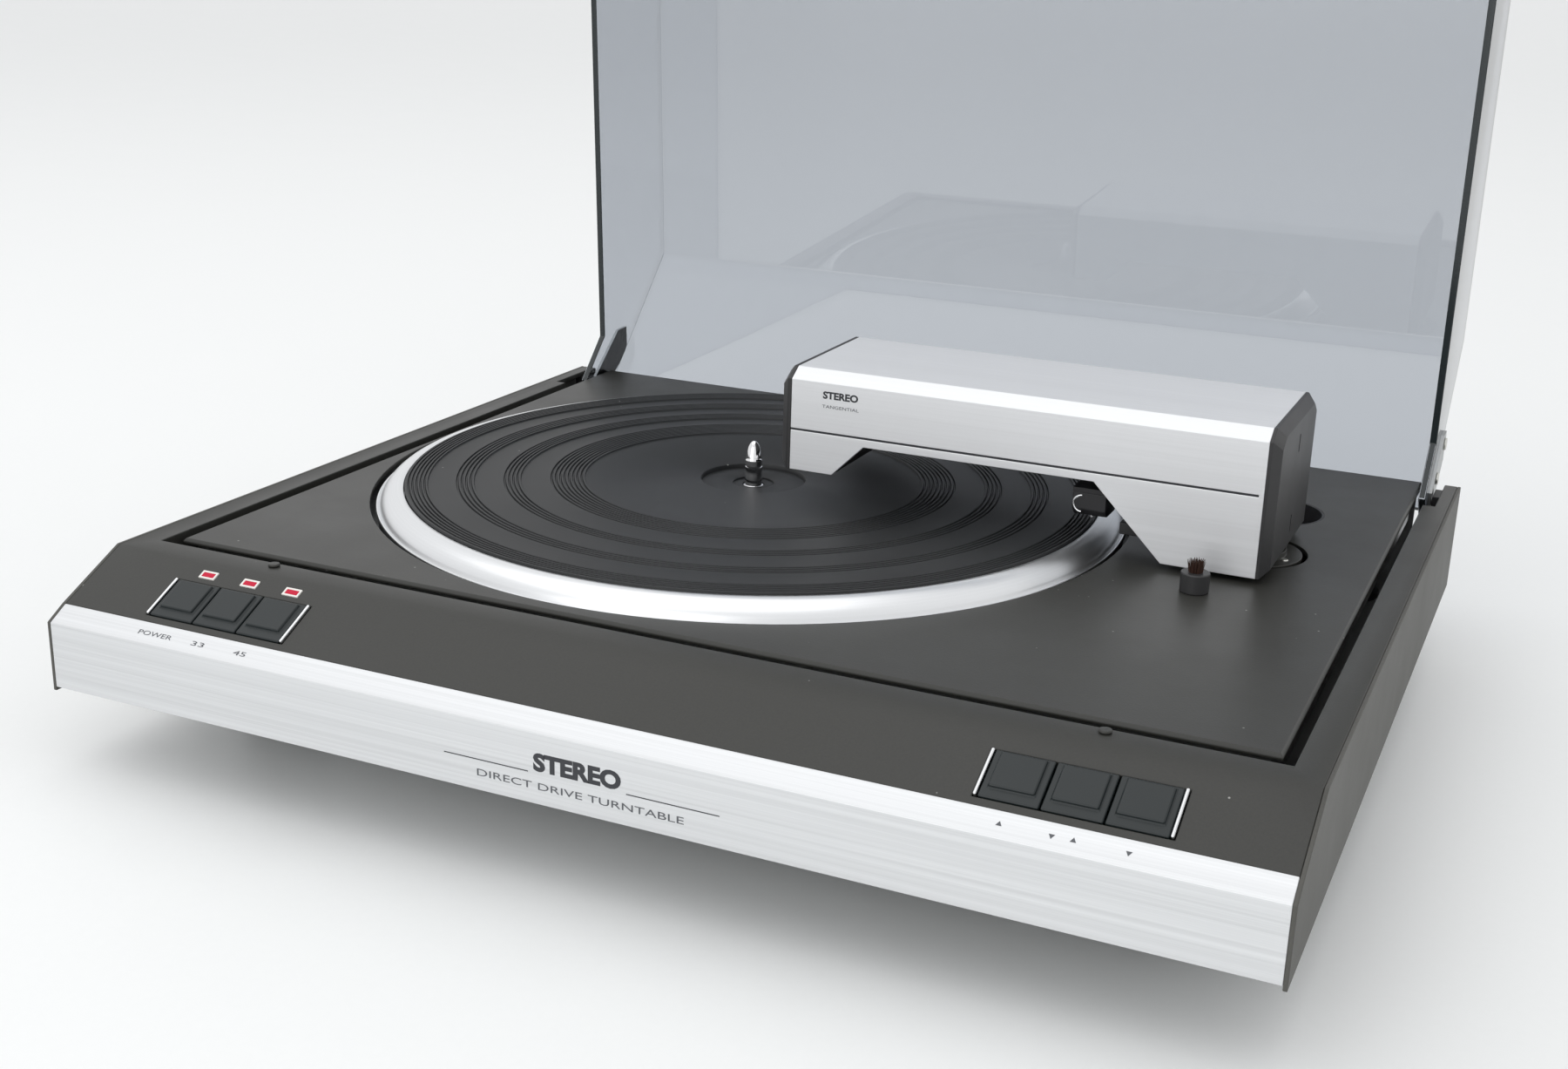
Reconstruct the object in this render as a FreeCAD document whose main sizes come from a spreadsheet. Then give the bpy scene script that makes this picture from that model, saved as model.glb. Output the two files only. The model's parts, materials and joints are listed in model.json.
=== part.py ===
"""Record player with a direct-drive platter, a swinging tangential arm and a hinged clear lid.

Millimetres, +Z up. The origin is on the surface that the feet stand on, under the middle of the
player as it stands with its lid raised, with +Y towards the hinges. Sub-parts are drawn in one
of five local frames, each of which FRAMES places in the model:
  deck     X from the middle, Y from the front face, Z from the lower edge of the side panels
  platter  the deck frame moved to the platter's axis
  arm      the deck frame moved to the axis that the arm housing swings about
  slope    Y up the sloping fascia from its lower edge, Z square to the fascia
  lid      origin on the hinge axis, drawn as the lid lies when shut
"""
import FreeCAD, Part
import Sketcher
import math
import os
import re

doc = FreeCAD.newDocument("RecordPlayer")
sheet = doc.addObject("Spreadsheet::Sheet", "Sizes")

SIZES = {
    "Case": {
        "overrun": 1, "chassis_width": 450, "chassis_depth": 382, "chassis_lift": 29,
        "origin_shift": 33.2,
        "rim_height": 46.2,
        "side_wall": 1.4, "bar_face": 26.8, "bar_lip_y": 8.1, "bar_lip_z": 31.7,
        "bar_wall": 3, "bar_low": 1.5, "bar_foot": 12, "fascia_angle": 26.2,
        "rim_front_width": 10.7,
        "rim_side_width": 11.9, "frame_wall": 2.5, "skirt_wall": 2, "skirt_low": 20,
        "pan_low": 0.5, "pan_wall": 2, "seat_gap": 0.2, "rear_wall": 2, "rear_low_top": 20,
        "rear_high_top": 40, "rear_high_half": 207, "vent_length": 60, "vent_width": 5,
        "vent_pitch": 14, "foot_x": 180, "foot_y": 75, "foot_radius": 18, "foot_sole": 14,
        "foot_waist": 8, "screw_radius": 3.2, "screw_head": 1.6, "buffer_x": 157,
        "buffer_radius": 2.2, "buffer_height": 1.2, "buffer_inset": 3.3},
    "Floating deck": {
        "plate_gap_side": 4.3, "plate_gap_front": 6.8, "plate_drop": 0.4, "plate_level": 45.8,
        "plate_wall": 2,
        "plate_chamfer": 1, "plate_overhang": 1.6, "float_low": 29, "float_wall": 3,
        "float_inset": 3.8, "float_skirt": 2,
        "mount_x": 190, "mount_front_y": 88, "mount_back_inset": 40, "mount_radius": 10,
        "mount_waist": 7.5, "mount_bore": 4, "mount_lip": 3, "brush_x": 151, "brush_y": 187,
        "cup_radius": 5.4,
        "cup_wall": 1.1, "cup_height": 7.6, "bristle_low_radius": 2.2, "bristle_top_radius": 3.5,
        "bristle_top": 58.4, "well_x": 158.5, "well_y": 305.3, "well_radius": 19.7,
        "well_wall": 1, "well_depth": 12},
    "Platter": {
        "platter_x": -46.3, "platter_y": 221.8, "platter_radius": 157.4, "platter_gap": 2.4,
        "platter_low": 37, "lip_z": 43.5, "lip_step": 0.9, "rim_top_z": 51.4,
        "rim_crest": 1.2, "bulge_in": 4.3, "bulge_drop": 2.9, "seat_in": 11.4,
        "seat_z": 47.6, "web_wall": 4, "rim_wall": 16, "hub_radius": 14, "hub_low": 33.5,
        "mat_gap": 0.4, "mat_base": 3.7, "mat_rib": 0.8,
        "band_1_in": 10.1, "band_2_in": 29.2, "band_2_out": 20.1, "band_3_in": 48.4,
        "band_3_out": 39.7, "band_4_in": 75.2, "band_4_out": 59.1, "label_radius": 22.2,
        "label_z": 49.4, "centre_radius": 8.7, "centre_z": 48.6, "mat_bore": 4.6,
        "spindle_radius": 3.6, "ring_z": 57.6,
        "ring_width": 1, "ring_depth": 0.4, "cone_z": 58.9, "spindle_top": 67.6,
        "tip_radius": 0.8, "tip_rise": 0.5, "shoulder_in": 1, "shoulder_z": 63.2, "shaft_low": 13.5,
        "shaft_radius": 4.2, "shaft_top": 48.8, "bearing_clearance": 0.05},
    "Motor": {
        "motor_radius": 48, "motor_low": 5, "motor_wall": 2, "flange_radius": 56,
        "flange_wall": 2, "sleeve_radius": 8, "sleeve_top": 25.5, "ball_radius": 2.5, "pad_bite": 0.4,
        "stator_radius": 33, "stator_core": 16, "stator_low": 12, "stator_top": 22,
        "pole_width": 6, "pole_count": 12, "coil_wall": 1.6, "coil_in": 4, "coil_out": 3,
        "pole_inset": 1,
        "cup_disc_low": 26.5,
        "cup_disc_wall": 2, "cup_radius_out": 42, "cup_rim": 2, "cup_low": 11,
        "magnet_wall": 4, "motor_hole": 44.5},
    "Arm housing": {
        "arm_x": 159.5, "arm_y": 246.4, "arm_reach": 181.8, "arm_tail": 10.1, "arm_front": 41.3,
        "arm_rear": 35.4, "arm_top": 105.1, "arm_bevel_y": 6.4, "arm_bevel_z": 4, "arm_wall": 2,
        "arm_foot_low": 63, "arm_foot": 18.8, "arm_notch_top": 76.4, "arm_base_low": 48,
        "arm_base": 26, "seam_z": 80.1, "seam_width": 0.8, "seam_depth": 0.7, "seam_stop": 2,
        "end_left": 5, "end_right": 4.6, "end_bevel": 3.4, "arm_disc_radius": 20.2,
        "arm_disc_gap": 2, "arm_post_radius": 14, "arm_shaft_radius": 8, "arm_shaft_low": 12,
        "arm_boss_radius": 14, "arm_boss_low": 14, "arm_boss_flange": 22, "slot_front": 36,
        "slot_back": 0.5, "slot_play": 1, "upright_wall": 4, "upright_front": 2,
        "upright_top": 100, "end_slot_width": 1.6, "end_slot_height": 7, "end_slot_y": -2,
        "end_slot_high": 92, "end_slot_low": 59.7},
    "Arm carriage": {
        "rod_back_y": 26, "rod_back_z": 91, "rod_back_radius": 3, "rod_front_y": 12,
        "rod_front_z": 94, "rod_front_radius": 2, "rod_clearance": 0.05, "stylus_x": -57,
        "stylus_y": -29.7, "stylus_z": 58.6, "carriage_half": 7, "carriage_travel": 90,
        "carriage_front": 5,
        "carriage_back": 32, "carriage_low": 84, "carriage_top": 98, "ear_wall": 1.5, "ear_bite": 6,
        "ear_front": -4, "ear_low": 80, "lift_z": 84, "lift_pin_radius": 1,
        "lift_hub_radius": 3, "tube_radius": 2, "head_low": 69.7, "head_wall": 1.8,
        "cartridge_half": 6.8, "cartridge_front": -35, "cartridge_back": -19,
        "cartridge_low": 60, "cartridge_nose": 3, "cartridge_heel": 2, "holder_half": 1.5,
        "holder_length": 2, "holder_height": 1, "stylus_root": 6, "stylus_radius": 0.45,
        "needle_radius": 0.1,
        "needle_length": 0.9, "pulley_y": -14,
        "pulley_inset": 13.8, "pulley_right": -10, "pulley_z": 92, "pulley_radius": 4.7,
        "pulley_flange": 6.5, "pulley_flange_wall": 0.8, "belt_gap": 0.3, "belt_wall": 0.8,
        "belt_width": 3, "pulley_bore": 1.05, "pulley_pin": 1, "motor_can_radius": 11,
        "motor_can_low": 64, "motor_can_top": 88, "sensor_left": 47.5, "sensor_front": -22,
        "sensor_back": -12, "sensor_low": 51, "sensor_top": 56},
    "Keys": {
        "key_group_x": 157.4, "key_pitch": 19.4, "key_gap": 0.5, "key_low": 3.2, "key_high": 21.8,
        "key_face": 0.5, "pad_half": 7.2, "pad_low": 7, "pad_high": 20.6, "pad_face": 1.7,
        "key_base": 2.5, "plunger_half": 2, "plunger_low": 10.5, "plunger_high": 14.5,
        "plunger_end": 4, "key_travel": 1.5, "key_play": 0.2, "key_bar_width": 1.2,
        "key_bar_face": 1.1, "board_top": 7.4, "board_wall": 1.6, "board_low": 3,
        "board_high": 29, "board_half": 196, "led_s": 26.4, "led_pitch": 18.9,
        "led_width": 7, "led_height": 3.8, "led_rim": 0.8, "led_face": 0.3},
    "Lid": {
        "hinge_inset": 5.2, "hinge_drop": 6.4, "lid_open_angle": 87.3, "lid_slope": 46,
        "lid_rise": 67.8, "lid_wall": 3, "lid_wall_gap": 0.6, "lid_front_gap": 2.55,
        "lid_edge_drop": 2.5, "hollow_reach": 60, "panel_offset": 9.05, "ear_offset": 15.1,
        "ear_end": 8,
        "hinge_slot_front": 37, "hinge_slot_width": 5, "bracket_wall": 1.5,
        "bracket_boss": 4.5, "bracket_reach_y": 24, "bracket_reach_z": 29.5,
        "hinge_pin_radius": 2, "hinge_pin_end": 9.5, "hinge_clearance": 0.05, "block_gap": 0.6,
        "block_wall": 6.5, "block_front": 8, "block_low": 8, "screw_a_y": -8, "screw_a_z": 7,
        "screw_b_y": -19.1, "screw_b_z": 24.8, "lid_screw_head": 2.8,
        "lid_screw_cap": 1},
    "Electrics": {
        "toroid_x": 143, "toroid_y": 332, "toroid_radius": 30, "toroid_bore": 9, "toroid_seat": 15,
        "toroid_low": 3.5, "toroid_height": 22, "board_x": -110, "board_y": 305,
        "board_length": 140, "board_depth": 60, "board_z": 8, "capacitor_radius": 6,
        "capacitor_height": 12, "standoff_radius": 3, "inlet_x": 150, "inlet_z": 12.5,
        "inlet_half": 13, "inlet_rise": 6.5, "inlet_depth": 18, "inlet_recess": 11,
        "inlet_mouth_half": 10, "inlet_mouth_rise": 4.5, "inlet_pin": 1.2, "inlet_pin_x": 6.8,
        "inlet_flange": 1.5, "socket_x": -150, "socket_pitch": 18, "socket_z": 12,
        "socket_radius": 4.15, "socket_bore": 3.1, "socket_pin": 1.6, "socket_length": 8,
        "socket_collar": 6, "socket_collar_wall": 1.2},
}

KEY_NAMES = {-1: ("key_power", "key_speed_33", "key_speed_45"),
             1: ("key_arm_return", "key_arm_lift", "key_arm_start")}
SIDES = {"left": -1, "right": 1}


def fill_sheet():
    """Write every size into the sheet as a plain number with its name beside it."""
    row = 1
    for title, entries in SIZES.items():
        sheet.set(f"A{row}", title)
        row += 1
        for alias, number in entries.items():
            sheet.set(f"A{row}", alias)
            sheet.set(f"B{row}", str(number))
            sheet.setAlias(f"B{row}", alias)
            row += 1
    doc.recompute()


ALIASES = [alias for entries in SIZES.values() for alias in entries]
NAME_PATTERN = re.compile(r"\b(" + "|".join(sorted(ALIASES, key=len, reverse=True)) + r")\b")


def bind(target, prop, expression):
    """Bind a property to an expression in which the sheet's names stand bare."""
    target.setExpression(prop, NAME_PATTERN.sub(r"Sizes.\1", str(expression)))


# Levels and lines that several pieces share, all worked out from the sheet.
INNER_X = "(chassis_width / 2 - side_wall)"
RIM_IN = "(chassis_width / 2 - rim_side_width)"
PLATE_X = f"({RIM_IN} - plate_gap_side)"
RIM_START = "(bar_lip_y + (rim_height - bar_lip_z) / tan(fascia_angle))"
RIM_END = f"({RIM_START} + rim_front_width)"
PLATE_START = f"({RIM_END} + plate_gap_front)"
PLATE_TOP = "(rim_height - plate_drop)"
PLATE_LOW = f"({PLATE_TOP} - plate_wall)"
RISE = f"({PLATE_TOP} - plate_level)"
FLOAT_LOW = f"(float_low + {RISE})"
PAN_TOP = "(pan_low + pan_wall)"
FLOAT_TOP = f"({FLOAT_LOW} + float_wall)"
FLOAT_X = f"({PLATE_X} - float_inset)"
FLOAT_START = f"({PLATE_START} + float_inset)"
FLOAT_END = "(chassis_depth - float_inset)"
HINGE_Y = "(chassis_depth - hinge_inset)"
HINGE_Z = "(rim_height - hinge_drop)"
LID_X = f"({RIM_IN} - lid_wall_gap)"
KEY_HALF = "(1.5 * key_pitch + key_bar_width)"
NOTCH_LEFT = "(arm_foot - arm_reach + arm_notch_top - arm_foot_low)"
NOTCH_RIGHT = "(-arm_base - (arm_notch_top - arm_base_low))"
BELT_INNER = "(pulley_radius + belt_gap)"
SEAT_RADIUS = "(platter_radius - seat_in)"
MAT_RADIUS = f"({SEAT_RADIUS} - mat_gap)"
PULLEY_LEFT = "(pulley_inset - arm_reach)"
ORIGIN_Y = "(chassis_depth / 2 + origin_shift)"
EASE_45 = math.tan(math.radians(45 / 2))
VENT_ROWS = (-8, -7, -6, 6, 7, 8)
CAPACITORS = 4

FRAMES = {
    "deck": ("0", f"-{ORIGIN_Y}", "chassis_lift", None),
    "platter": ("platter_x", f"platter_y - {ORIGIN_Y}", f"chassis_lift + {RISE}", None),
    "arm": ("arm_x", f"arm_y - {ORIGIN_Y}", f"chassis_lift + {RISE}", None),
    "slope": ("0", f"bar_lip_y - {ORIGIN_Y}", "bar_lip_z + chassis_lift",
              ((1, 0, 0), "fascia_angle")),
    "lid": ("0", f"{HINGE_Y} - {ORIGIN_Y}", f"{HINGE_Z} + chassis_lift",
            ((-1, 0, 0), "lid_open_angle")),
}

sub_parts = []


def finish(piece, label, frame="deck"):
    """Name a sub-part, place its frame in the model and keep it for export."""
    piece.Label = label
    east, north, up, turn = FRAMES[frame]
    if turn:
        axis, angle = turn
        piece.Placement = FreeCAD.Placement(FreeCAD.Vector(),
                                            FreeCAD.Rotation(FreeCAD.Vector(*axis), 1))
        bind(piece, "Placement.Rotation.Angle", angle)
    bind(piece, "Placement.Base.x", east)
    bind(piece, "Placement.Base.y", north)
    bind(piece, "Placement.Base.z", up)
    sub_parts.append(piece)
    return piece


def block(x_span, y_span, z_span):
    """A box between two expressions on each axis."""
    box = doc.addObject("Part::Box", "Block")
    for prop, axis, (low, high) in zip(("Length", "Width", "Height"), "xyz",
                                       (x_span, y_span, z_span)):
        bind(box, prop, f"({high}) - ({low})")
        bind(box, f"Placement.Base.{axis}", low)
    return box


def rod(radius, start, length, direction=(0, 0, 1)):
    """A cylinder from a point along a direction."""
    cylinder = doc.addObject("Part::Cylinder", "Rod")
    turn = FreeCAD.Rotation(FreeCAD.Vector(0, 0, 1), FreeCAD.Vector(*direction))
    cylinder.Placement = FreeCAD.Placement(FreeCAD.Vector(), turn)
    bind(cylinder, "Radius", radius)
    bind(cylinder, "Height", length)
    for axis, place in zip("xyz", start):
        bind(cylinder, f"Placement.Base.{axis}", place)
    return cylinder


def fuse(*pieces):
    """Join pieces into one solid."""
    joined = doc.addObject("Part::MultiFuse", "Fuse")
    joined.Shapes = list(pieces)
    joined.Refine = True
    return joined


def cut(base, *tools):
    """Take tools away from a base."""
    remainder = doc.addObject("Part::Cut", "Cut")
    remainder.Base = base
    remainder.Tool = tools[0] if len(tools) == 1 else fuse_tools(tools)
    return remainder


def fuse_tools(tools):
    """Gather cutting tools, which may lie apart from each other."""
    gathered = doc.addObject("Part::MultiFuse", "Tools")
    gathered.Shapes = list(tools)
    return gathered


def group(*pieces):
    """Keep like pieces together as separate solids of one node."""
    gathered = doc.addObject("Part::Compound", "Group")
    gathered.Links = list(pieces)
    return gathered


def new_body():
    """An empty body."""
    return doc.addObject("PartDesign::Body", "Body")


def outline(body, plane, points, shift="0"):
    """A closed outline of straight lines, each corner bound to a pair of expressions."""
    sketch = body.newObject("Sketcher::SketchObject", "Outline")
    support = next(item for item in body.Origin.OriginFeatures if item.Role == plane)
    sketch.AttachmentSupport = (support, "")
    sketch.MapMode = "FlatFace"
    bind(sketch, "AttachmentOffset.Base.z", shift)
    count = len(points)
    spots = [FreeCAD.Vector(10 * math.cos(2 * math.pi * step / count),
                            10 * math.sin(2 * math.pi * step / count), 0)
             for step in range(count)]
    sketch.addGeometry([Part.LineSegment(spots[step], spots[(step + 1) % count])
                        for step in range(count)], False)
    rules = [Sketcher.Constraint("Coincident", step, 2, (step + 1) % count, 1)
             for step in range(count)]
    for step, spot in enumerate(spots):
        rules.append(Sketcher.Constraint("DistanceX", -1, 1, step, 1, spot.x))
        rules.append(Sketcher.Constraint("DistanceY", -1, 1, step, 1, spot.y))
    sketch.addConstraint(rules)
    for step, corner in enumerate(points):
        for side, expression in enumerate(corner):
            bind(sketch, f"Constraints[{count + 2 * step + side}]", expression)
    return sketch


def prism(body, plane, points, low, high, removes=False):
    """Pad or pocket an outline between two levels along the plane's axis."""
    flip = "-1 * " if plane == "XZ_Plane" else ""
    sketch = outline(body, plane, points, f"{flip}(({low}) + ({high})) / 2")
    kind = "PartDesign::Pocket" if removes else "PartDesign::Pad"
    feature = body.newObject(kind, "Pocket" if removes else "Pad")
    feature.Profile = sketch
    feature.Midplane = True
    bind(feature, "Length", f"({high}) - ({low})")
    doc.recompute()
    return feature


def turned(points):
    """A body turned about its Z axis from an outline of radius and height."""
    body = new_body()
    sketch = outline(body, "XZ_Plane", points)
    revolution = body.newObject("PartDesign::Revolution", "Revolution")
    revolution.Profile = sketch
    revolution.ReferenceAxis = (sketch, ["V_Axis"])
    revolution.Angle = 360
    doc.recompute()
    return body


def extruded(plane, points, low, high):
    """A body with one pad."""
    body = new_body()
    prism(body, plane, points, low, high)
    return body


def build_case():
    """Side panels, front bar, deck frame, bottom pan, rear panel, feet and screws."""
    side = [("0", "0"), ("0", "bar_face"), ("bar_lip_y", "bar_lip_z"), (RIM_START, "rim_height"),
            ("chassis_depth", "rim_height"), ("chassis_depth", "0")]
    for name, sign in SIDES.items():
        edges = [f"{sign} * {INNER_X}", f"{sign} * chassis_width / 2"]
        finish(extruded("YZ_Plane", side, *edges[::sign]), f"side_panel_{name}")
    bar = [("0", "bar_low"), ("0", "bar_face"), ("bar_lip_y", "bar_lip_z"),
           ("bar_lip_y", "bar_lip_z - bar_wall"), ("bar_wall", "bar_face - bar_wall / 2"),
           ("bar_wall", "bar_low + bar_wall"), ("bar_foot", "bar_low + bar_wall"),
           ("bar_foot", "bar_low")]
    finish(extruded("YZ_Plane", bar, f"-{INNER_X}", INNER_X), "front_bar")
    build_deck_frame()
    pan = block((f"seat_gap - {INNER_X}", f"{INNER_X} - seat_gap"),
                ("bar_foot + seat_gap", "chassis_depth - rear_wall"), ("pan_low", PAN_TOP))
    vents = [block(("platter_x - vent_length / 2", "platter_x + vent_length / 2"),
                   (f"platter_y + {index} * vent_pitch - vent_width / 2",
                    f"platter_y + {index} * vent_pitch + vent_width / 2"),
                   ("0", f"{PAN_TOP} + overrun")) for index in VENT_ROWS]
    seat = rod("toroid_seat", ("toroid_x", "toroid_y", "pan_low"), "toroid_low - pan_low")
    bolt = rod("screw_radius", ("toroid_x", "toroid_y", "pan_low"), "toroid_height")
    finish(fuse(cut(pan, *vents), seat, bolt), "bottom_pan")
    build_rear_panel()
    feet = []
    heads = []
    for side_sign in (-1, 1):
        for place in ("foot_y", "chassis_depth - foot_y"):
            foot = turned([("0", "-chassis_lift"), ("foot_sole", "-chassis_lift"),
                           ("foot_radius", "-chassis_lift / 2"),
                           ("foot_radius", "-foot_waist / 2"),
                           ("foot_sole", "pan_low"), ("0", "pan_low")])
            bind(foot, "Placement.Base.x", f"{side_sign} * foot_x")
            bind(foot, "Placement.Base.y", place)
            feet.append(foot)
            heads.append(rod("screw_radius", (f"{side_sign} * foot_x", place, PAN_TOP),
                             "screw_head"))
    finish(group(*feet), "feet")
    finish(group(*heads), "foot_screws")
    buffers = [rod("buffer_radius", (f"{sign} * buffer_x", f"{RIM_END} - buffer_inset",
                                     "rim_height"), "buffer_height") for sign in (-1, 1)]
    finish(group(*buffers), "lid_buffers")


def build_deck_frame():
    """Sloping fascia, flat rim on three sides and the skirt that hangs inside it."""
    body = new_body()
    fall = "frame_wall / cos(fascia_angle)"
    fascia = [("bar_lip_y", "bar_lip_z"), (RIM_START, "rim_height"), (RIM_END, "rim_height"),
              (RIM_END, "skirt_low"), (f"{RIM_END} - skirt_wall", "skirt_low"),
              (f"{RIM_END} - skirt_wall", "rim_height - frame_wall"),
              (f"{RIM_START} + frame_wall * tan(fascia_angle / 2)", "rim_height - frame_wall"),
              ("bar_lip_y", f"bar_lip_z - {fall}")]
    prism(body, "YZ_Plane", fascia, f"-{INNER_X}", INNER_X)
    for sign in (-1, 1):
        rim = [(f"{sign} * {RIM_IN}", "rim_height"), (f"{sign} * {INNER_X}", "rim_height"),
               (f"{sign} * {INNER_X}", "rim_height - frame_wall"),
               (f"{sign} * ({RIM_IN} + skirt_wall)", "rim_height - frame_wall"),
               (f"{sign} * ({RIM_IN} + skirt_wall)", "skirt_low"),
               (f"{sign} * {RIM_IN}", "skirt_low")]
        prism(body, "XZ_Plane", rim, f"{RIM_END} - skirt_wall", "chassis_depth")
        slot = [(f"{sign} * ({RIM_IN} - overrun)", "chassis_depth - hinge_slot_front"),
                (f"{sign} * ({RIM_IN} + hinge_slot_width)", "chassis_depth - hinge_slot_front"),
                (f"{sign} * ({RIM_IN} + hinge_slot_width)", "chassis_depth + overrun"),
                (f"{sign} * ({RIM_IN} - overrun)", "chassis_depth + overrun")]
        prism(body, "XY_Plane", slot, "skirt_low - overrun", "rim_height + overrun", removes=True)
        centre = f"{sign} * key_group_x"
        prism(body, "YZ_Plane", slope_hole("key_low - key_play", "key_high + key_play"),
              f"{centre} - {KEY_HALF} - key_play", f"{centre} + {KEY_HALF} + key_play",
              removes=True)
    for index in (-1, 0, 1):
        centre = f"(-key_group_x + {index} * led_pitch)"
        prism(body, "YZ_Plane", slope_hole("led_s - led_height / 2", "led_s + led_height / 2"),
              f"{centre} - led_width / 2", f"{centre} + led_width / 2", removes=True)
    finish(body, "deck_frame")


def slope_hole(low, high):
    """Outline of a hole square to the fascia, between two distances up the slope."""
    corners = []
    for along, out in ((low, "overrun"), (high, "overrun"), (high, "-(frame_wall + overrun)"),
                       (low, "-(frame_wall + overrun)")):
        corners.append((f"bar_lip_y + ({along}) * cos(fascia_angle) - ({out}) * sin(fascia_angle)",
                        f"bar_lip_z + ({along}) * sin(fascia_angle) + ({out}) * cos(fascia_angle)"))
    return corners


def build_rear_panel():
    """Rear panel, notched beside the lid's walls, with its inlet and signal sockets."""
    back = ("chassis_depth - rear_wall", "chassis_depth")
    low_part = block((f"-{INNER_X}", INNER_X), back, ("pan_low", "rear_low_top"))
    high_part = block(("-rear_high_half", "rear_high_half"), back,
                      ("rear_low_top - overrun", "rear_high_top"))
    holes = [block(("inlet_x - inlet_half + inlet_flange", "inlet_x + inlet_half - inlet_flange"),
                   ("chassis_depth - rear_wall - overrun", "chassis_depth + overrun"),
                   ("inlet_z - inlet_rise + inlet_flange", "inlet_z + inlet_rise - inlet_flange"))]
    sockets = []
    for index in (0, 1):
        centre = f"socket_x + {index} * socket_pitch"
        holes.append(rod("socket_radius", (centre, "chassis_depth - rear_wall - overrun",
                                           "socket_z"),
                         "rear_wall + 2 * overrun", (0, 1, 0)))
        barrel = rod("socket_radius", (centre, "chassis_depth - rear_wall", "socket_z"),
                     "rear_wall + socket_length", (0, 1, 0))
        collar = rod("socket_collar", (centre, "chassis_depth", "socket_z"),
                     "socket_collar_wall", (0, 1, 0))
        bore = rod("socket_bore", (centre, "chassis_depth", "socket_z"),
                   "socket_length + overrun", (0, 1, 0))
        lug = rod("socket_collar", (centre, "chassis_depth - rear_wall - socket_collar_wall",
                                    "socket_z"), "socket_collar_wall", (0, 1, 0))
        hollow = cut(fuse(barrel, collar, lug), bore,
                     rod("socket_pin", (centre, "chassis_depth - rear_wall", "socket_z"),
                         "rear_wall", (0, 1, 0)))
        sockets.append(hollow)
    finish(cut(fuse(low_part, high_part), *holes), "rear_panel")
    finish(group(*sockets), "phono_sockets")
    shell = block(("inlet_x - inlet_half + inlet_flange", "inlet_x + inlet_half - inlet_flange"),
                  ("chassis_depth - inlet_depth", "chassis_depth"),
                  ("inlet_z - inlet_rise + inlet_flange", "inlet_z + inlet_rise - inlet_flange"))
    flange = block(("inlet_x - inlet_half", "inlet_x + inlet_half"),
                   ("chassis_depth", "chassis_depth + inlet_flange"),
                   ("inlet_z - inlet_rise", "inlet_z + inlet_rise"))
    mouth = block(("inlet_x - inlet_mouth_half", "inlet_x + inlet_mouth_half"),
                  ("chassis_depth - inlet_recess", "chassis_depth + inlet_flange + overrun"),
                  ("inlet_z - inlet_mouth_rise", "inlet_z + inlet_mouth_rise"))
    pins = [rod("inlet_pin", (f"inlet_x + {sign} * inlet_pin_x",
                              "chassis_depth - inlet_recess - overrun", "inlet_z"),
                "inlet_recess", (0, 1, 0)) for sign in (-1, 1)]
    finish(fuse(cut(fuse(shell, flange), mouth), *pins), "mains_inlet")


def build_keys():
    """Six keys in two rows of three, their end bars, lamps and the board beneath."""
    bars = []
    switches = []
    for sign, names in KEY_NAMES.items():
        for index, name in enumerate(names):
            centre = f"({sign} * key_group_x + {index - 1} * key_pitch)"
            half = "(key_pitch / 2 - key_gap / 2)"
            base = block((f"{centre} - {half}", f"{centre} + {half}"), ("key_low", "key_high"),
                         ("-key_base", "key_face"))
            pad = block((f"{centre} - pad_half", f"{centre} + pad_half"), ("pad_low", "pad_high"),
                        ("0", "pad_face"))
            plunger = block((f"{centre} - plunger_half", f"{centre} + plunger_half"),
                            ("plunger_low", "plunger_high"), ("-plunger_end", "0"))
            finish(fuse(base, pad, plunger), name, "slope")
            switches.append(block((f"{centre} - 2 * plunger_half", f"{centre} + 2 * plunger_half"),
                                  ("plunger_low - plunger_half", "plunger_high + plunger_half"),
                                  ("-board_top - board_wall / 2",
                                   "-plunger_end - key_travel - key_play")))
        for end in (-1, 1):
            centre = f"({sign} * key_group_x + {end} * (1.5 * key_pitch + key_bar_width / 2))"
            bars.append(block((f"{centre} - key_bar_width / 2", f"{centre} + key_bar_width / 2"),
                              ("key_low", "key_high"), ("-key_base", "key_bar_face")))
    finish(group(*bars), "key_bars", "slope")
    board = block(("-board_half", "board_half"), ("board_low", "board_high"),
                  ("-board_top - board_wall", "-board_top"))
    finish(fuse(board, *switches), "key_board", "slope")
    frames = []
    lenses = []
    for index in (-1, 0, 1):
        centre = f"(-key_group_x + {index} * led_pitch)"
        outer = block((f"{centre} - led_width / 2", f"{centre} + led_width / 2"),
                      ("led_s - led_height / 2", "led_s + led_height / 2"),
                      ("-frame_wall", "led_face"))
        inner = [(f"{centre} - led_width / 2 + led_rim", f"{centre} + led_width / 2 - led_rim"),
                 ("led_s - led_height / 2 + led_rim", "led_s + led_height / 2 - led_rim")]
        hole = block(*inner, ("-frame_wall - overrun", "led_face + overrun"))
        frames.append(cut(outer, hole))
        lenses.append(block(*inner, ("-frame_wall", "led_face")))
    finish(group(*frames), "lamp_frames", "slope")
    finish(group(*lenses), "lamp_lenses", "slope")


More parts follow.
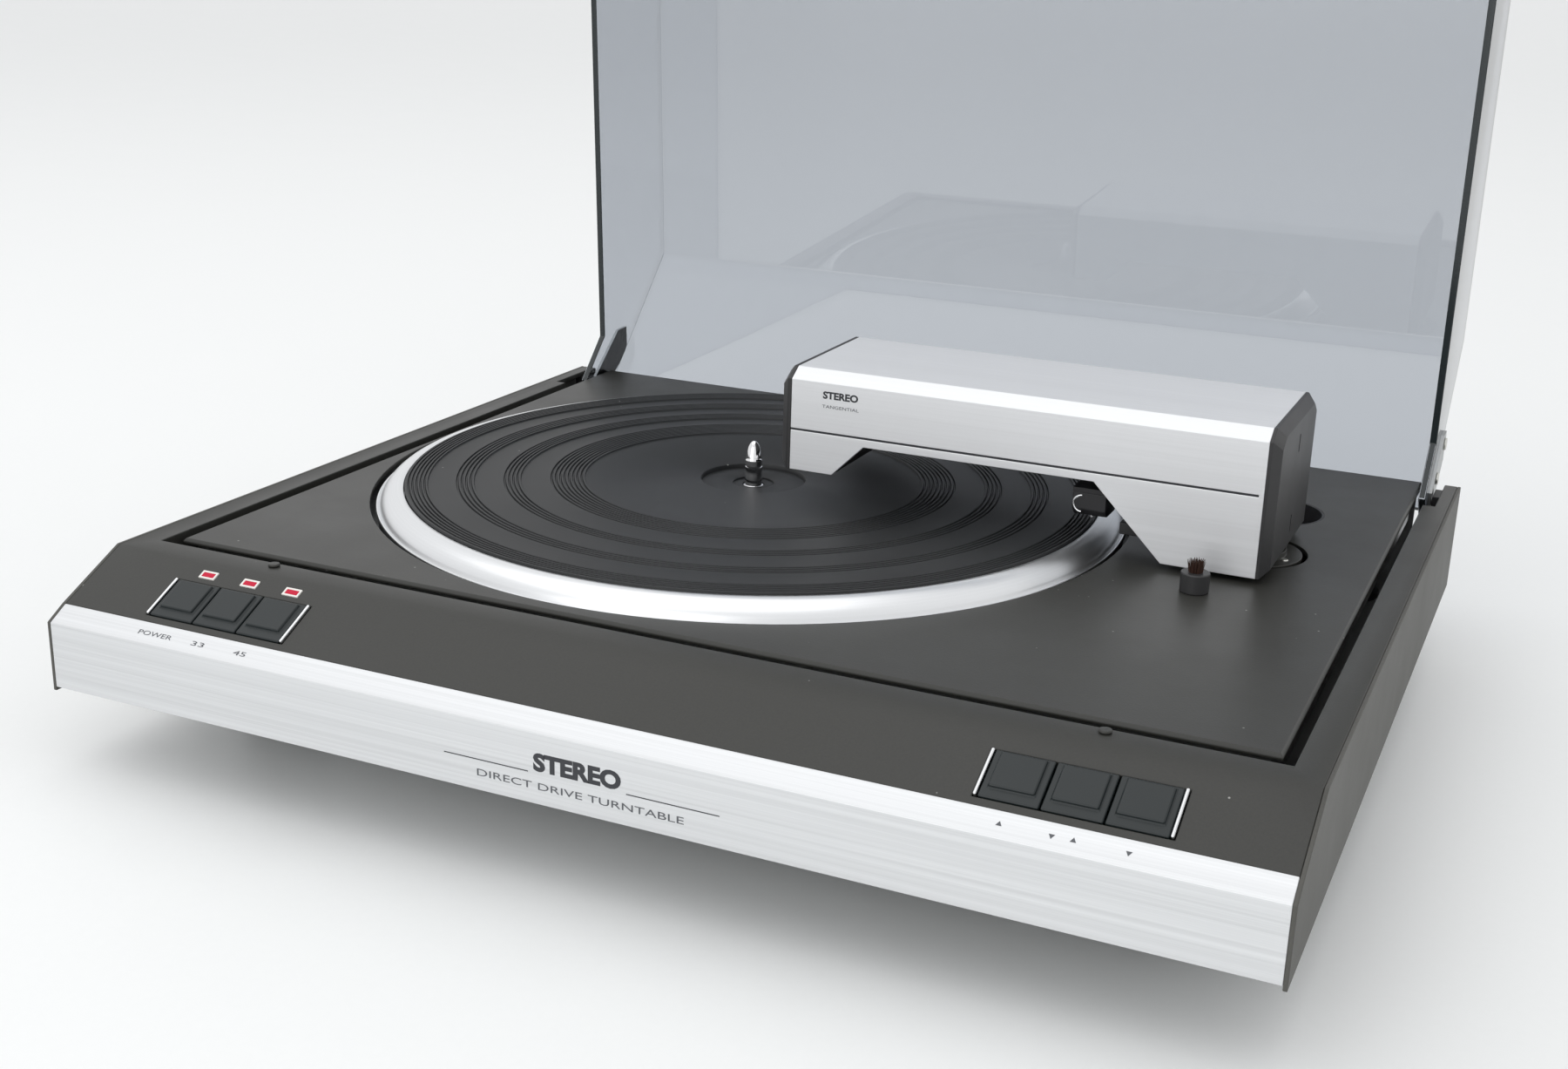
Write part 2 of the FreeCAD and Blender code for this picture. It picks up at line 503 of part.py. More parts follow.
def build_floating_deck():
    """Top plate and its sub-chassis, rubber mounts, brush and adapter well."""
    plate = new_body()
    edge = "plate_chamfer"
    prism(plate, "XZ_Plane", [(f"-{PLATE_X}", PLATE_LOW), (PLATE_X, PLATE_LOW),
                              (PLATE_X, f"{PLATE_TOP} - {edge}"),
                              (f"{PLATE_X} - {edge}", PLATE_TOP),
                              (f"{edge} - {PLATE_X}", PLATE_TOP),
                              (f"-{PLATE_X}", f"{PLATE_TOP} - {edge}")],
          PLATE_START, "chassis_depth + plate_overhang")
    front = [(f"{PLATE_START} - overrun", f"{PLATE_TOP} + overrun"),
             (f"{PLATE_START} + {edge} + overrun", f"{PLATE_TOP} + overrun"),
             (f"{PLATE_START} + {edge}", PLATE_TOP), (PLATE_START, f"{PLATE_TOP} - {edge}"),
             (f"{PLATE_START} - overrun", f"{PLATE_TOP} - {edge} - overrun")]
    prism(plate, "YZ_Plane", front, f"-{PLATE_X} - overrun", f"{PLATE_X} + overrun", removes=True)
    back_edge = "(chassis_depth + plate_overhang)"
    back = [(f"{back_edge} + overrun", f"{PLATE_TOP} + overrun"),
            (f"{back_edge} - {edge} - overrun", f"{PLATE_TOP} + overrun"),
            (f"{back_edge} - {edge}", PLATE_TOP), (back_edge, f"{PLATE_TOP} - {edge}"),
            (f"{back_edge} + overrun", f"{PLATE_TOP} - {edge} - overrun")]
    prism(plate, "YZ_Plane", back, f"-{PLATE_X} - overrun", f"{PLATE_X} + overrun", removes=True)
    for radius, centre in (("platter_radius + platter_gap", ("platter_x", "platter_y")),
                           ("arm_disc_radius + arm_disc_gap", ("arm_x", "arm_y")),
                           ("well_radius", ("well_x", "well_y")),
                           ("cup_radius - cup_wall", ("brush_x", "brush_y"))):
        round_hole(plate, radius, centre)
    finish(plate, "top_plate")
    floor = block((f"-{FLOAT_X}", FLOAT_X), (FLOAT_START, FLOAT_END), (FLOAT_LOW, PLATE_LOW))
    hollow = block((f"float_skirt - {FLOAT_X}", f"{FLOAT_X} - float_skirt"),
                   (f"{FLOAT_START} + float_skirt", f"{FLOAT_END} - float_skirt"),
                   (FLOAT_TOP, f"{PLATE_LOW} + overrun"))
    motor_hole = rod("motor_hole", ("platter_x", "platter_y", f"{FLOAT_LOW} - overrun"),
                     "float_wall + 2 * overrun")
    arm_hole = rod("arm_shaft_radius + arm_disc_gap", ("arm_x", "arm_y", f"{FLOAT_LOW} - overrun"),
                   "float_wall + 2")
    recess = rod("platter_radius + platter_gap", ("platter_x", "platter_y", FLOAT_TOP),
                 f"{PLATE_LOW} + overrun - {FLOAT_TOP}")
    finish(cut(floor, hollow, recess, motor_hole, arm_hole), "sub_chassis")
    well = turned([("0", f"{PLATE_TOP} - well_depth"), ("well_radius", f"{PLATE_TOP} - well_depth"),
                   ("well_radius", PLATE_TOP), ("well_radius - well_wall", PLATE_TOP),
                   ("well_radius - well_wall", f"{PLATE_TOP} - well_depth + well_wall"),
                   ("0", f"{PLATE_TOP} - well_depth + well_wall")])
    finish(well, "adapter_well")
    bind(well, "Placement.Base.x", "well_x")
    bind(well, "Placement.Base.y", f"well_y - {ORIGIN_Y}")
    cup = turned([("0", PLATE_LOW), ("cup_radius - cup_wall", PLATE_LOW),
                  ("cup_radius - cup_wall", PLATE_TOP), ("cup_radius", PLATE_TOP),
                  ("cup_radius", f"{PLATE_TOP} + cup_height"),
                  ("bristle_low_radius", f"{PLATE_TOP} + cup_height"),
                  ("bristle_low_radius", f"{PLATE_TOP} + cup_height / 2"),
                  ("0", f"{PLATE_TOP} + cup_height / 2")])
    bristles = turned([("0", f"{PLATE_TOP} + cup_height / 2"),
                       ("bristle_low_radius", f"{PLATE_TOP} + cup_height / 2"),
                       ("bristle_low_radius", f"{PLATE_TOP} + cup_height"),
                       ("bristle_top_radius", f"bristle_top + {RISE}"),
                       ("0", f"bristle_top + {RISE}")])
    for piece, name in ((cup, "brush_cup"), (bristles, "brush_bristles")):
        finish(piece, name)
        bind(piece, "Placement.Base.x", "brush_x")
        bind(piece, "Placement.Base.y", f"brush_y - {ORIGIN_Y}")
    build_mounts()


def round_hole(body, radius, centre):
    """Pocket one circle right through a flat plate."""
    sketch = body.newObject("Sketcher::SketchObject", "Circle")
    support = next(item for item in body.Origin.OriginFeatures if item.Role == "XY_Plane")
    sketch.AttachmentSupport = (support, "")
    sketch.MapMode = "FlatFace"
    bind(sketch, "AttachmentOffset.Base.z", PLATE_LOW)
    sketch.addGeometry(Part.Circle(FreeCAD.Vector(1, 1, 0), FreeCAD.Vector(0, 0, 1), 5), False)
    sketch.addConstraint([Sketcher.Constraint("Radius", 0, 5),
                          Sketcher.Constraint("DistanceX", -1, 1, 0, 3, 1),
                          Sketcher.Constraint("DistanceY", -1, 1, 0, 3, 1)])
    bind(sketch, "Constraints[0]", radius)
    for index, place in enumerate(centre, start=1):
        bind(sketch, f"Constraints[{index}]", place)
    pocket = body.newObject("PartDesign::Pocket", "Pocket")
    pocket.Profile = sketch
    pocket.Midplane = True
    bind(pocket, "Length", "4 * plate_wall")
    doc.recompute()


def build_mounts():
    """Four hollow rubber mounts between the bottom pan and the sub-chassis."""
    mounts = []
    middle = f"(({PAN_TOP} + {FLOAT_LOW}) / 2)"
    for side_sign in (-1, 1):
        for place in ("mount_front_y", "chassis_depth - mount_back_inset"):
            mount = turned([("mount_bore", PAN_TOP), ("mount_radius", PAN_TOP),
                            ("mount_radius", f"{PAN_TOP} + mount_lip"),
                            ("mount_waist", f"({PAN_TOP} + mount_lip + {middle}) / 2"),
                            ("mount_radius", middle),
                            ("mount_waist", f"({FLOAT_LOW} - mount_lip + {middle}) / 2"),
                            ("mount_radius", f"{FLOAT_LOW} - mount_lip"),
                            ("mount_radius", FLOAT_LOW), ("mount_bore", FLOAT_LOW)])
            bind(mount, "Placement.Base.x", f"{side_sign} * mount_x")
            bind(mount, "Placement.Base.y", place)
            mounts.append(mount)
    finish(group(*mounts), "suspension_mounts")


def build_platter():
    """Platter, mat, spindle shaft and the rotor that hangs under the hub."""
    platter = turned([
        ("shaft_radius", "hub_low"), ("hub_radius", "hub_low"),
        ("hub_radius", "seat_z - web_wall"), ("platter_radius - rim_wall", "seat_z - web_wall"),
        ("platter_radius - rim_wall", "platter_low"), ("platter_radius - lip_step", "platter_low"),
        ("platter_radius - lip_step", "lip_z - lip_step"), ("platter_radius", "lip_z - lip_step"),
        ("platter_radius", "lip_z"), ("platter_radius - bulge_in", "rim_top_z - bulge_drop"),
        (f"{SEAT_RADIUS} + rim_crest", "rim_top_z"), (SEAT_RADIUS, "rim_top_z"),
        (SEAT_RADIUS, "seat_z"), ("shaft_radius", "seat_z")])
    finish(platter, "platter", "platter")
    mat_top = "seat_z + mat_base"
    corners = [(MAT_RADIUS, "seat_z"), (MAT_RADIUS, f"{mat_top} + mat_rib"),
               (f"{MAT_RADIUS} - band_1_in", f"{mat_top} + mat_rib"),
               (f"{MAT_RADIUS} - band_1_in", mat_top)]
    for band in (2, 3, 4):
        outer, inner = (f"{MAT_RADIUS} - band_{band}_{edge}" for edge in ("out", "in"))
        corners += [(outer, mat_top), (outer, f"{mat_top} + mat_rib"),
                    (inner, f"{mat_top} + mat_rib"), (inner, mat_top)]
    corners += [("label_radius", mat_top), ("label_radius", "label_z"),
                ("centre_radius", "label_z"), ("centre_radius", "centre_z"),
                ("mat_bore", "centre_z"), ("mat_bore", "seat_z")]
    finish(turned(corners), "platter_mat", "platter")
    neck = "(spindle_radius - ring_depth)"
    spindle = turned([("0", "shaft_low"), ("shaft_radius", "shaft_low"),
                      ("shaft_radius", "shaft_top"), ("spindle_radius", "shaft_top"),
                      ("spindle_radius", "ring_z"), (neck, "ring_z"),
                      (neck, "ring_z + ring_width"), ("spindle_radius", "ring_z + ring_width"),
                      ("spindle_radius", "cone_z"),
                      ("spindle_radius - shoulder_in", "shoulder_z"),
                      ("tip_radius", "spindle_top - tip_rise"), ("0", "spindle_top")])
    finish(spindle, "spindle_shaft", "platter")
    disc_top = "cup_disc_low + cup_disc_wall"
    cup = turned([("shaft_radius", "cup_disc_low"),
                  ("cup_radius_out - cup_rim", "cup_disc_low"),
                  ("cup_radius_out - cup_rim", "cup_low"), ("cup_radius_out", "cup_low"),
                  ("cup_radius_out", disc_top), ("hub_radius", disc_top),
                  ("hub_radius", "hub_low"), ("shaft_radius", "hub_low")])
    finish(cup, "rotor_cup", "platter")
    magnet = turned([("cup_radius_out - cup_rim - magnet_wall", "cup_low"),
                     ("cup_radius_out - cup_rim", "cup_low"),
                     ("cup_radius_out - cup_rim", "cup_disc_low"),
                     ("cup_radius_out - cup_rim - magnet_wall", "cup_disc_low")])
    finish(magnet, "rotor_magnet", "platter")


def build_motor():
    """Motor housing, bearing sleeve, thrust ball, stator and its coils."""
    floor = "motor_low + motor_wall"
    housing = turned([("0", "motor_low"), ("motor_radius", "motor_low"),
                      ("motor_radius", "float_low - flange_wall"),
                      ("flange_radius", "float_low - flange_wall"), ("flange_radius", "float_low"),
                      ("motor_radius - motor_wall", "float_low"),
                      ("motor_radius - motor_wall", floor), ("0", floor)])
    finish(housing, "motor_housing", "platter")
    sleeve = turned([("shaft_radius + bearing_clearance", floor), ("sleeve_radius", floor),
                     ("sleeve_radius", "sleeve_top"),
                     ("shaft_radius + bearing_clearance", "sleeve_top")])
    finish(sleeve, "bearing_sleeve", "platter")
    ball = doc.addObject("Part::Sphere", "Ball")
    bind(ball, "Radius", "ball_radius")
    bind(ball, "Placement.Base.z", "shaft_low - ball_radius")
    pad = rod("ball_radius", ("0", "0", floor), f"shaft_low - 2 * ball_radius - ({floor}) + pad_bite")
    finish(fuse(ball, pad), "thrust_ball", "platter")
    core = turned([("sleeve_radius", "stator_low"), ("stator_core", "stator_low"),
                   ("stator_core", "stator_top"), ("sleeve_radius", "stator_top")])
    poles = [core]
    coils = []
    for index in range(SIZES["Motor"]["pole_count"]):
        poles.append(pole(index, "stator_core - overrun", "stator_radius", "0", "0"))
        winding = pole(index, "stator_core + coil_in", "stator_radius - coil_out", "coil_wall",
                       "coil_wall")
        gap = pole(index, "stator_core", "stator_radius + overrun", "0", "0")
        coils.append(cut(winding, gap))
    finish(fuse(*poles), "motor_stator", "platter")
    finish(group(*coils), "stator_coils", "platter")


def pole(index, start, end, side, rise):
    """One straight stator pole, or the winding around it, at its place round the axis."""
    arm = doc.addObject("Part::Box", "Pole")
    bind(arm, "Length", f"({end}) - ({start})")
    bind(arm, "Width", f"pole_width / 2 + 2 * {side}")
    bind(arm, "Height", f"stator_top - stator_low - 2 * pole_inset + 2 * {rise}")
    angle = f"360 * {index} / pole_count"
    arm.Placement = FreeCAD.Placement(FreeCAD.Vector(),
                                      FreeCAD.Rotation(FreeCAD.Vector(0, 0, 1), 1 + index))
    bind(arm, "Placement.Rotation.Angle", angle)
    half = f"(pole_width / 4 + {side})"
    bind(arm, "Placement.Base.x", f"({start}) * cos({angle}) + {half} * sin({angle})")
    bind(arm, "Placement.Base.y", f"({start}) * sin({angle}) - {half} * cos({angle})")
    bind(arm, "Placement.Base.z", f"stator_low + pole_inset - {rise}")
    return arm


def arm_section(low, inset="0"):
    """End profile of the arm housing in Y and Z, down to a level."""
    front = f"({inset} - arm_front)"
    rear = f"(arm_rear - {inset})"
    top = f"(arm_top - {inset})"
    return [(front, low), (front, f"{top} - arm_bevel_z"), (f"{front} + arm_bevel_y", top),
            (f"{rear} - arm_bevel_y", top), (rear, f"{top} - arm_bevel_z"), (rear, low)]


def notch(rise, far):
    """Underside of the arm housing in X and Z, raised by a wall, closed far below."""
    ease = f"{EASE_45:.6f} * {rise}"
    return [("-arm_reach - overrun", f"arm_foot_low + {rise}"),
            (f"arm_foot - arm_reach - {ease}", f"arm_foot_low + {rise}"),
            (f"{NOTCH_LEFT} - {ease}", f"arm_notch_top + {rise}"),
            (f"{NOTCH_RIGHT} + {ease}", f"arm_notch_top + {rise}"),
            (f"-arm_base + {ease}", f"arm_base_low + {rise}"),
            ("arm_tail + overrun", f"arm_base_low + {rise}"), ("arm_tail + overrun", far),
            ("-arm_reach - overrun", far)]


def build_arm_housing():
    """Shell, end plates, inner frame, turning base and what is fixed inside the housing."""
    shell = new_body()
    prism(shell, "YZ_Plane", arm_section("arm_base_low"), "-arm_reach", "arm_tail")
    prism(shell, "YZ_Plane", arm_section("arm_base_low - overrun", "arm_wall"), "-arm_reach - overrun",
          "arm_tail + overrun", removes=True)
    prism(shell, "XZ_Plane", notch("0", "arm_base_low - 5 * overrun"), "-arm_front - overrun",
          "arm_rear + overrun",
          removes=True)
    seam = [("-arm_reach - overrun", "seam_z - seam_width / 2"),
            ("arm_tail - seam_stop", "seam_z - seam_width / 2"),
            ("arm_tail - seam_stop", "seam_z + seam_width / 2"),
            ("-arm_reach - overrun", "seam_z + seam_width / 2")]
    prism(shell, "XZ_Plane", seam, "-arm_front - overrun", "seam_depth - arm_front", removes=True)
    finish(shell, "arm_shell", "arm")
    for name, sign, low, start, depth in (
            ("left", -1, "arm_foot_low", "arm_reach", "end_left"),
            ("right", 1, "arm_base_low", "arm_tail", "end_right")):
        end = new_body()
        near, mid, far = (f"{sign} * {start}", f"{sign} * ({start} + {depth} - end_bevel)",
                          f"{sign} * ({start} + {depth})")
        span = (near, mid) if sign > 0 else (mid, near)
        prism(end, "YZ_Plane", arm_section(low), *span)
        wide = outline(end, "YZ_Plane", arm_section(low), mid)
        slim = outline(end, "YZ_Plane", arm_section(f"{low} + end_bevel", "end_bevel"), far)
        loft = end.newObject("PartDesign::AdditiveLoft", "Bevel")
        loft.Profile = wide
        loft.Sections = [slim]
        loft.Ruled = True
        doc.recompute()
        if sign > 0:
            for level in ("end_slot_high", "end_slot_low"):
                slit = [("end_slot_y - end_slot_width / 2", f"{level} - end_slot_height / 2"),
                        ("end_slot_y + end_slot_width / 2", f"{level} - end_slot_height / 2"),
                        ("end_slot_y + end_slot_width / 2", f"{level} + end_slot_height / 2"),
                        ("end_slot_y - end_slot_width / 2", f"{level} + end_slot_height / 2")]
                prism(end, "YZ_Plane", slit, mid, f"{far} + overrun", removes=True)
        finish(end, f"arm_end_{name}", "arm")
    build_arm_frame()
    disc_low = "plate_level - plate_wall"
    shaft = turned([("0", "arm_shaft_low"), ("arm_shaft_radius", "arm_shaft_low"),
                    ("arm_shaft_radius", disc_low), ("arm_disc_radius", disc_low),
                    ("arm_disc_radius", "plate_level"), ("arm_post_radius", "plate_level"),
                    ("arm_post_radius", "arm_base_low"), ("0", "arm_base_low")])
    finish(shaft, "arm_turning_base", "arm")
    bore = "arm_shaft_radius + bearing_clearance"
    boss = turned([(bore, "arm_boss_low"), ("arm_boss_radius", "arm_boss_low"),
                   ("arm_boss_radius", "float_low - flange_wall"),
                   ("arm_boss_flange", "float_low - flange_wall"),
                   ("arm_boss_flange", "float_low"), (bore, "float_low")])
    finish(boss, "arm_bearing", "arm")


def build_arm_frame():
    """Floor of the arm housing with the uprights that hold the guide rods."""
    frame = new_body()
    under = notch("0", "0")[:-2]
    over = notch("arm_wall", "0")[:-2]
    inside = {0: "-arm_reach", -1: "arm_tail"}
    for index, end in inside.items():
        under[index] = (end, under[index][1])
        over[index] = (end, over[index][1])
    prism(frame, "XZ_Plane", under + over[::-1], "arm_wall - arm_front", "arm_rear - arm_wall")
    slot_left = "stylus_x - carriage_travel - tube_radius - slot_play"
    slot_right = "stylus_x + tube_radius + slot_play"
    slot = [(slot_left, "-slot_front"), (slot_right, "-slot_front"),
            (slot_right, "slot_back"), (slot_left, "slot_back")]
    prism(frame, "XY_Plane", slot, "arm_notch_top - overrun", "arm_notch_top + arm_wall + overrun",
          removes=True)
    for start, low in (("-arm_reach + upright_wall", "arm_foot_low + overrun"),
                       ("arm_tail - 2 * upright_wall", "arm_base_low + overrun")):
        wall = [(start, "upright_front"), (f"{start} + upright_wall", "upright_front"),
                (f"{start} + upright_wall", "arm_rear - arm_wall"),
                (start, "arm_rear - arm_wall")]
        prism(frame, "XY_Plane", wall, low, "upright_top")
    span = "arm_reach + arm_tail - 3 * upright_wall"
    rods = [rod(f"rod_{side}_radius", ("-arm_reach + upright_wall + overrun", f"rod_{side}_y",
                                       f"rod_{side}_z"), f"{span} - 2", (1, 0, 0))
            for side in ("back", "front")]
    holes = [rod(f"rod_{side}_radius", ("-arm_reach + upright_wall + overrun", f"rod_{side}_y",
                                        f"rod_{side}_z"), f"{span} - 2", (1, 0, 0))
             for side in ("back", "front")]
    idler_pin = rod("pulley_pin", (PULLEY_LEFT, "pulley_y", "arm_foot_low + overrun"),
                    "pulley_z + belt_width + 2 * overrun - arm_foot_low - overrun")
    finish(cut(fuse(frame, idler_pin), *holes), "arm_frame", "arm")
    finish(group(*rods), "guide_rods", "arm")
    can = rod("motor_can_radius", ("pulley_right", "pulley_y", "motor_can_low"),
              "motor_can_top - motor_can_low")
    pin = rod("pulley_pin", ("pulley_right", "pulley_y", "motor_can_top - overrun"),
              "pulley_z + belt_width + 3 * overrun - motor_can_top")
    stand = rod("pulley_pin * 4", ("pulley_right", "pulley_y", "arm_base_low + arm_wall"),
                "motor_can_low - arm_base_low - arm_wall")
    finish(fuse(can, pin, stand), "carriage_motor", "arm")
    sensor = [("-sensor_left", "sensor_low"),
              ("-arm_base - (sensor_low - arm_base_low)", "sensor_low"),
              ("-arm_base - (sensor_top - arm_base_low)", "sensor_top"),
              ("-sensor_left", "sensor_top")]
    finish(extruded("XZ_Plane", sensor, "sensor_front", "sensor_back"), "edge_sensor", "arm")
    build_belt()


def build_belt():
    """Carriage belt and the two pulleys that it runs round."""
    loops = []
    for radius in (f"{BELT_INNER} + belt_wall", BELT_INNER):
        ends = [rod(radius, (place, "pulley_y", "pulley_z"), "belt_width")
                for place in (PULLEY_LEFT, "pulley_right")]
        middle = block((PULLEY_LEFT, "pulley_right"),
                       (f"pulley_y - ({radius})", f"pulley_y + ({radius})"),
                       ("pulley_z", "pulley_z + belt_width"))
        loops.append(fuse(*ends, middle))
    finish(cut(*loops), "carriage_belt", "arm")
    low = "pulley_z - pulley_flange_wall"
    high = "pulley_z + belt_width + pulley_flange_wall"
    play = "belt_gap / 2"
    for name, place in (("left", PULLEY_LEFT), ("right", "pulley_right")):
        wheel = turned([("pulley_bore", f"{low} - {play}"), ("pulley_flange", f"{low} - {play}"),
                        ("pulley_flange", f"pulley_z - {play}"),
                        ("pulley_radius", f"pulley_z - {play}"),
                        ("pulley_radius", f"pulley_z + belt_width + {play}"),
                        ("pulley_flange", f"pulley_z + belt_width + {play}"),
                        ("pulley_flange", f"{high} + {play}"), ("pulley_bore", f"{high} + {play}")])
        finish(wheel, f"belt_pulley_{name}", "arm")
        bind(wheel, "Placement.Base.x", f"arm_x + {place}")
        bind(wheel, "Placement.Base.y", f"arm_y + pulley_y - {ORIGIN_Y}")


def build_carriage():
    """Carriage on the guide rods, the short pickup arm, cartridge and stylus."""
    left = "(stylus_x - carriage_half)"
    right = "(stylus_x + carriage_half)"
    main = block((left, right), ("carriage_front", "carriage_back"),
                 ("carriage_low", "carriage_top"))
    reach = f"pulley_y + {BELT_INNER} + belt_wall + belt_gap"
    clip = block((f"{left} + 2 * ear_wall", f"{right} - 2 * ear_wall"),
                 (reach, "carriage_front + overrun"),
                 ("pulley_z", "pulley_z + belt_width"))
    ears = [block((edge, f"{edge} + ear_wall"), ("ear_front", "carriage_front + overrun"),
                  ("ear_low", "carriage_low + ear_bite")) for edge in (left, f"{right} - ear_wall")]
    bores = [rod(f"rod_{side}_radius + rod_clearance",
                 (f"{left} - overrun", f"rod_{side}_y", f"rod_{side}_z"),
                  "2 * carriage_half + 2 * overrun",
                 (1, 0, 0)) for side in ("back", "front")]
    bores.append(rod("lift_pin_radius + rod_clearance", (f"{left} - overrun", "0", "lift_z"),
                     "2 * carriage_half + 2", (1, 0, 0)))
    finish(cut(fuse(main, clip, *ears), *bores), "arm_carriage", "arm")
    pin = rod("lift_pin_radius", (left, "0", "lift_z"), "2 * carriage_half", (1, 0, 0))
    hub = rod("lift_hub_radius", (f"{left} + ear_wall + rod_clearance * 4", "0", "lift_z"),
              "2 * (carriage_half - ear_wall - rod_clearance * 4)", (1, 0, 0))
    head_top = "head_low + head_wall"
    middle_y = "((cartridge_front + cartridge_back) / 2)"
    tube = doc.addObject("Part::Cylinder", "Tube")
    slope = f"atan(({head_top} - lift_z) / {middle_y})"
    tube.Placement = FreeCAD.Placement(FreeCAD.Vector(),
                                       FreeCAD.Rotation(FreeCAD.Vector(1, 0, 0), 91))
    bind(tube, "Radius", "tube_radius")
    bind(tube, "Height", f"-{middle_y} / cos({slope})")
    bind(tube, "Placement.Rotation.Angle", f"90 deg + {slope}")
    bind(tube, "Placement.Base.x", "stylus_x")
    bind(tube, "Placement.Base.z", "lift_z")
    head = block(("stylus_x - cartridge_half", "stylus_x + cartridge_half"),
                 ("cartridge_front", "cartridge_back"), ("head_low", head_top))
    finish(fuse(pin, hub, tube, head), "pickup_arm", "arm")
    cartridge = new_body()
    side = [("cartridge_front", "head_low"), ("cartridge_back", "head_low"),
            ("cartridge_back", "cartridge_low + cartridge_heel"),
            ("cartridge_back - cartridge_heel", "cartridge_low"),
            ("cartridge_front + cartridge_nose", "cartridge_low"),
            ("cartridge_front", "cartridge_low + cartridge_nose")]
    prism(cartridge, "YZ_Plane", side, "stylus_x - cartridge_half", "stylus_x + cartridge_half")
    finish(cartridge, "cartridge", "arm")
    drop = "(cartridge_low - stylus_z)"
    holder = block(("stylus_x - holder_half", "stylus_x + holder_half"),
                   ("stylus_y + stylus_root - holder_length", "stylus_y + stylus_root"),
                   ("cartridge_low - holder_height", "cartridge_low"))
    lever = doc.addObject("Part::Cylinder", "Lever")
    lever.Placement = FreeCAD.Placement(FreeCAD.Vector(),
                                        FreeCAD.Rotation(FreeCAD.Vector(1, 0, 0), 91))
    bind(lever, "Radius", "stylus_radius")
    reach = "(stylus_root - holder_length / 2)"
    fall = f"({drop} - needle_length)"
    bind(lever, "Height", f"sqrt({reach}^2 + {fall}^2)")
    bind(lever, "Placement.Rotation.Angle", f"90 deg + atan({fall} / {reach})")
    bind(lever, "Placement.Base.x", "stylus_x")
    bind(lever, "Placement.Base.y", f"stylus_y + {reach}")
    bind(lever, "Placement.Base.z", "cartridge_low - holder_height / 2")
    tip = doc.addObject("Part::Cone", "Tip")
    bind(tip, "Radius1", "needle_radius")
    bind(tip, "Radius2", "stylus_radius")
    bind(tip, "Height", "needle_length")
    bind(tip, "Placement.Base.x", "stylus_x")
    bind(tip, "Placement.Base.y", "stylus_y")
    bind(tip, "Placement.Base.z", "stylus_z")
    finish(fuse(holder, lever, tip), "stylus", "arm")


def lid_point(across, along):
    """A point of the lid's side view, from the hinge: across the ear and down along it."""
    return (f"({across}) * sin(lid_slope) + ({along}) * cos(lid_slope)",
            f"({across}) * cos(lid_slope) - ({along}) * sin(lid_slope)")


def build_lid():
    """Clear lid, its hinge brackets, pins and screws, and the blocks that hold the pins."""
    front = f"({RIM_END} + lid_front_gap - {HINGE_Y})"
    top = "(lid_rise + hinge_drop)"
    edge = "(hinge_drop - lid_edge_drop)"
    outer = "(panel_offset + lid_wall)"

    def slope_meets(across, level):
        return f"(({across}) - ({level}) * cos(lid_slope)) / sin(lid_slope)"

    lid = new_body()
    profile = [(front, edge), (front, top), (slope_meets(outer, top), top),
               lid_point(outer, "0"), lid_point("lid_wall", "ear_end"),
               lid_point("-ear_offset", "ear_end"), (slope_meets("-ear_offset", edge), edge)]
    prism(lid, "YZ_Plane", profile, f"-{LID_X}", LID_X)
    inner_top = f"({top} - lid_wall)"
    hollow = [(f"{front} + lid_wall", "-hollow_reach"), (f"{front} + lid_wall", inner_top),
              (slope_meets("panel_offset", inner_top), inner_top),
              lid_point("panel_offset", "0"), lid_point(f"{outer} + lid_wall", "0"),
              lid_point(f"{outer} + lid_wall", "hollow_reach"),
              (f"{front} + 3 * hollow_reach", "-hollow_reach")]
    prism(lid, "YZ_Plane", hollow, f"lid_wall - {LID_X}", f"{LID_X} - lid_wall", removes=True)
    finish(lid, "lid", "lid")
    brackets = []
    pins = []
    screws = []
    blocks = []
    for sign in (-1, 1):
        face = f"({sign} * {LID_X})"
        out = f"({sign} * ({LID_X} + bracket_wall))"
        span = (face, out) if sign > 0 else (out, face)
        strip = [("-bracket_boss", "-bracket_boss"), ("bracket_boss", "-bracket_boss"),
                 ("bracket_boss", "bracket_boss"),
                 ("bracket_boss * 3 - bracket_reach_y", "bracket_reach_z"),
                 ("-bracket_reach_y", "bracket_reach_z"),
                 ("-bracket_reach_y", "bracket_reach_z - 2 * bracket_boss")]
        plate = extruded("YZ_Plane", strip, *span)
        hole = rod("hinge_pin_radius", (f"{face} - {sign} * overrun", "0", "0"),
                    "bracket_wall + 2 * overrun",
                   (sign, 0, 0))
        brackets.append(cut(plate, hole))
        pins.append(rod("hinge_pin_radius", (face, "0", "0"), "hinge_pin_end", (sign, 0, 0)))
        for label in ("a", "b"):
            spot = (out, f"screw_{label}_y", f"screw_{label}_z")
            screws.append(rod("lid_screw_head", spot, "lid_screw_cap", (sign, 0, 0)))
        start = f"({LID_X} + bracket_wall + block_gap)"
        low, high = f"{sign} * {start}", f"{sign} * ({start} + block_wall)"
        blank = block((low, high) if sign > 0 else (high, low),
                      (f"{HINGE_Y} - block_front", "chassis_depth - seat_gap"),
                      (f"{HINGE_Z} - block_low", "rim_height - frame_wall"))
        bore = rod("hinge_pin_radius + hinge_clearance",
                   (f"{low} - {sign} * overrun", HINGE_Y, HINGE_Z),
                   "block_wall + 2 * overrun", (sign, 0, 0))
        blocks.append(cut(blank, bore))
    finish(group(*brackets), "hinge_brackets", "lid")
    finish(group(*pins), "hinge_pins", "lid")
    finish(group(*screws), "lid_screws", "lid")
    finish(group(*blocks), "hinge_blocks")


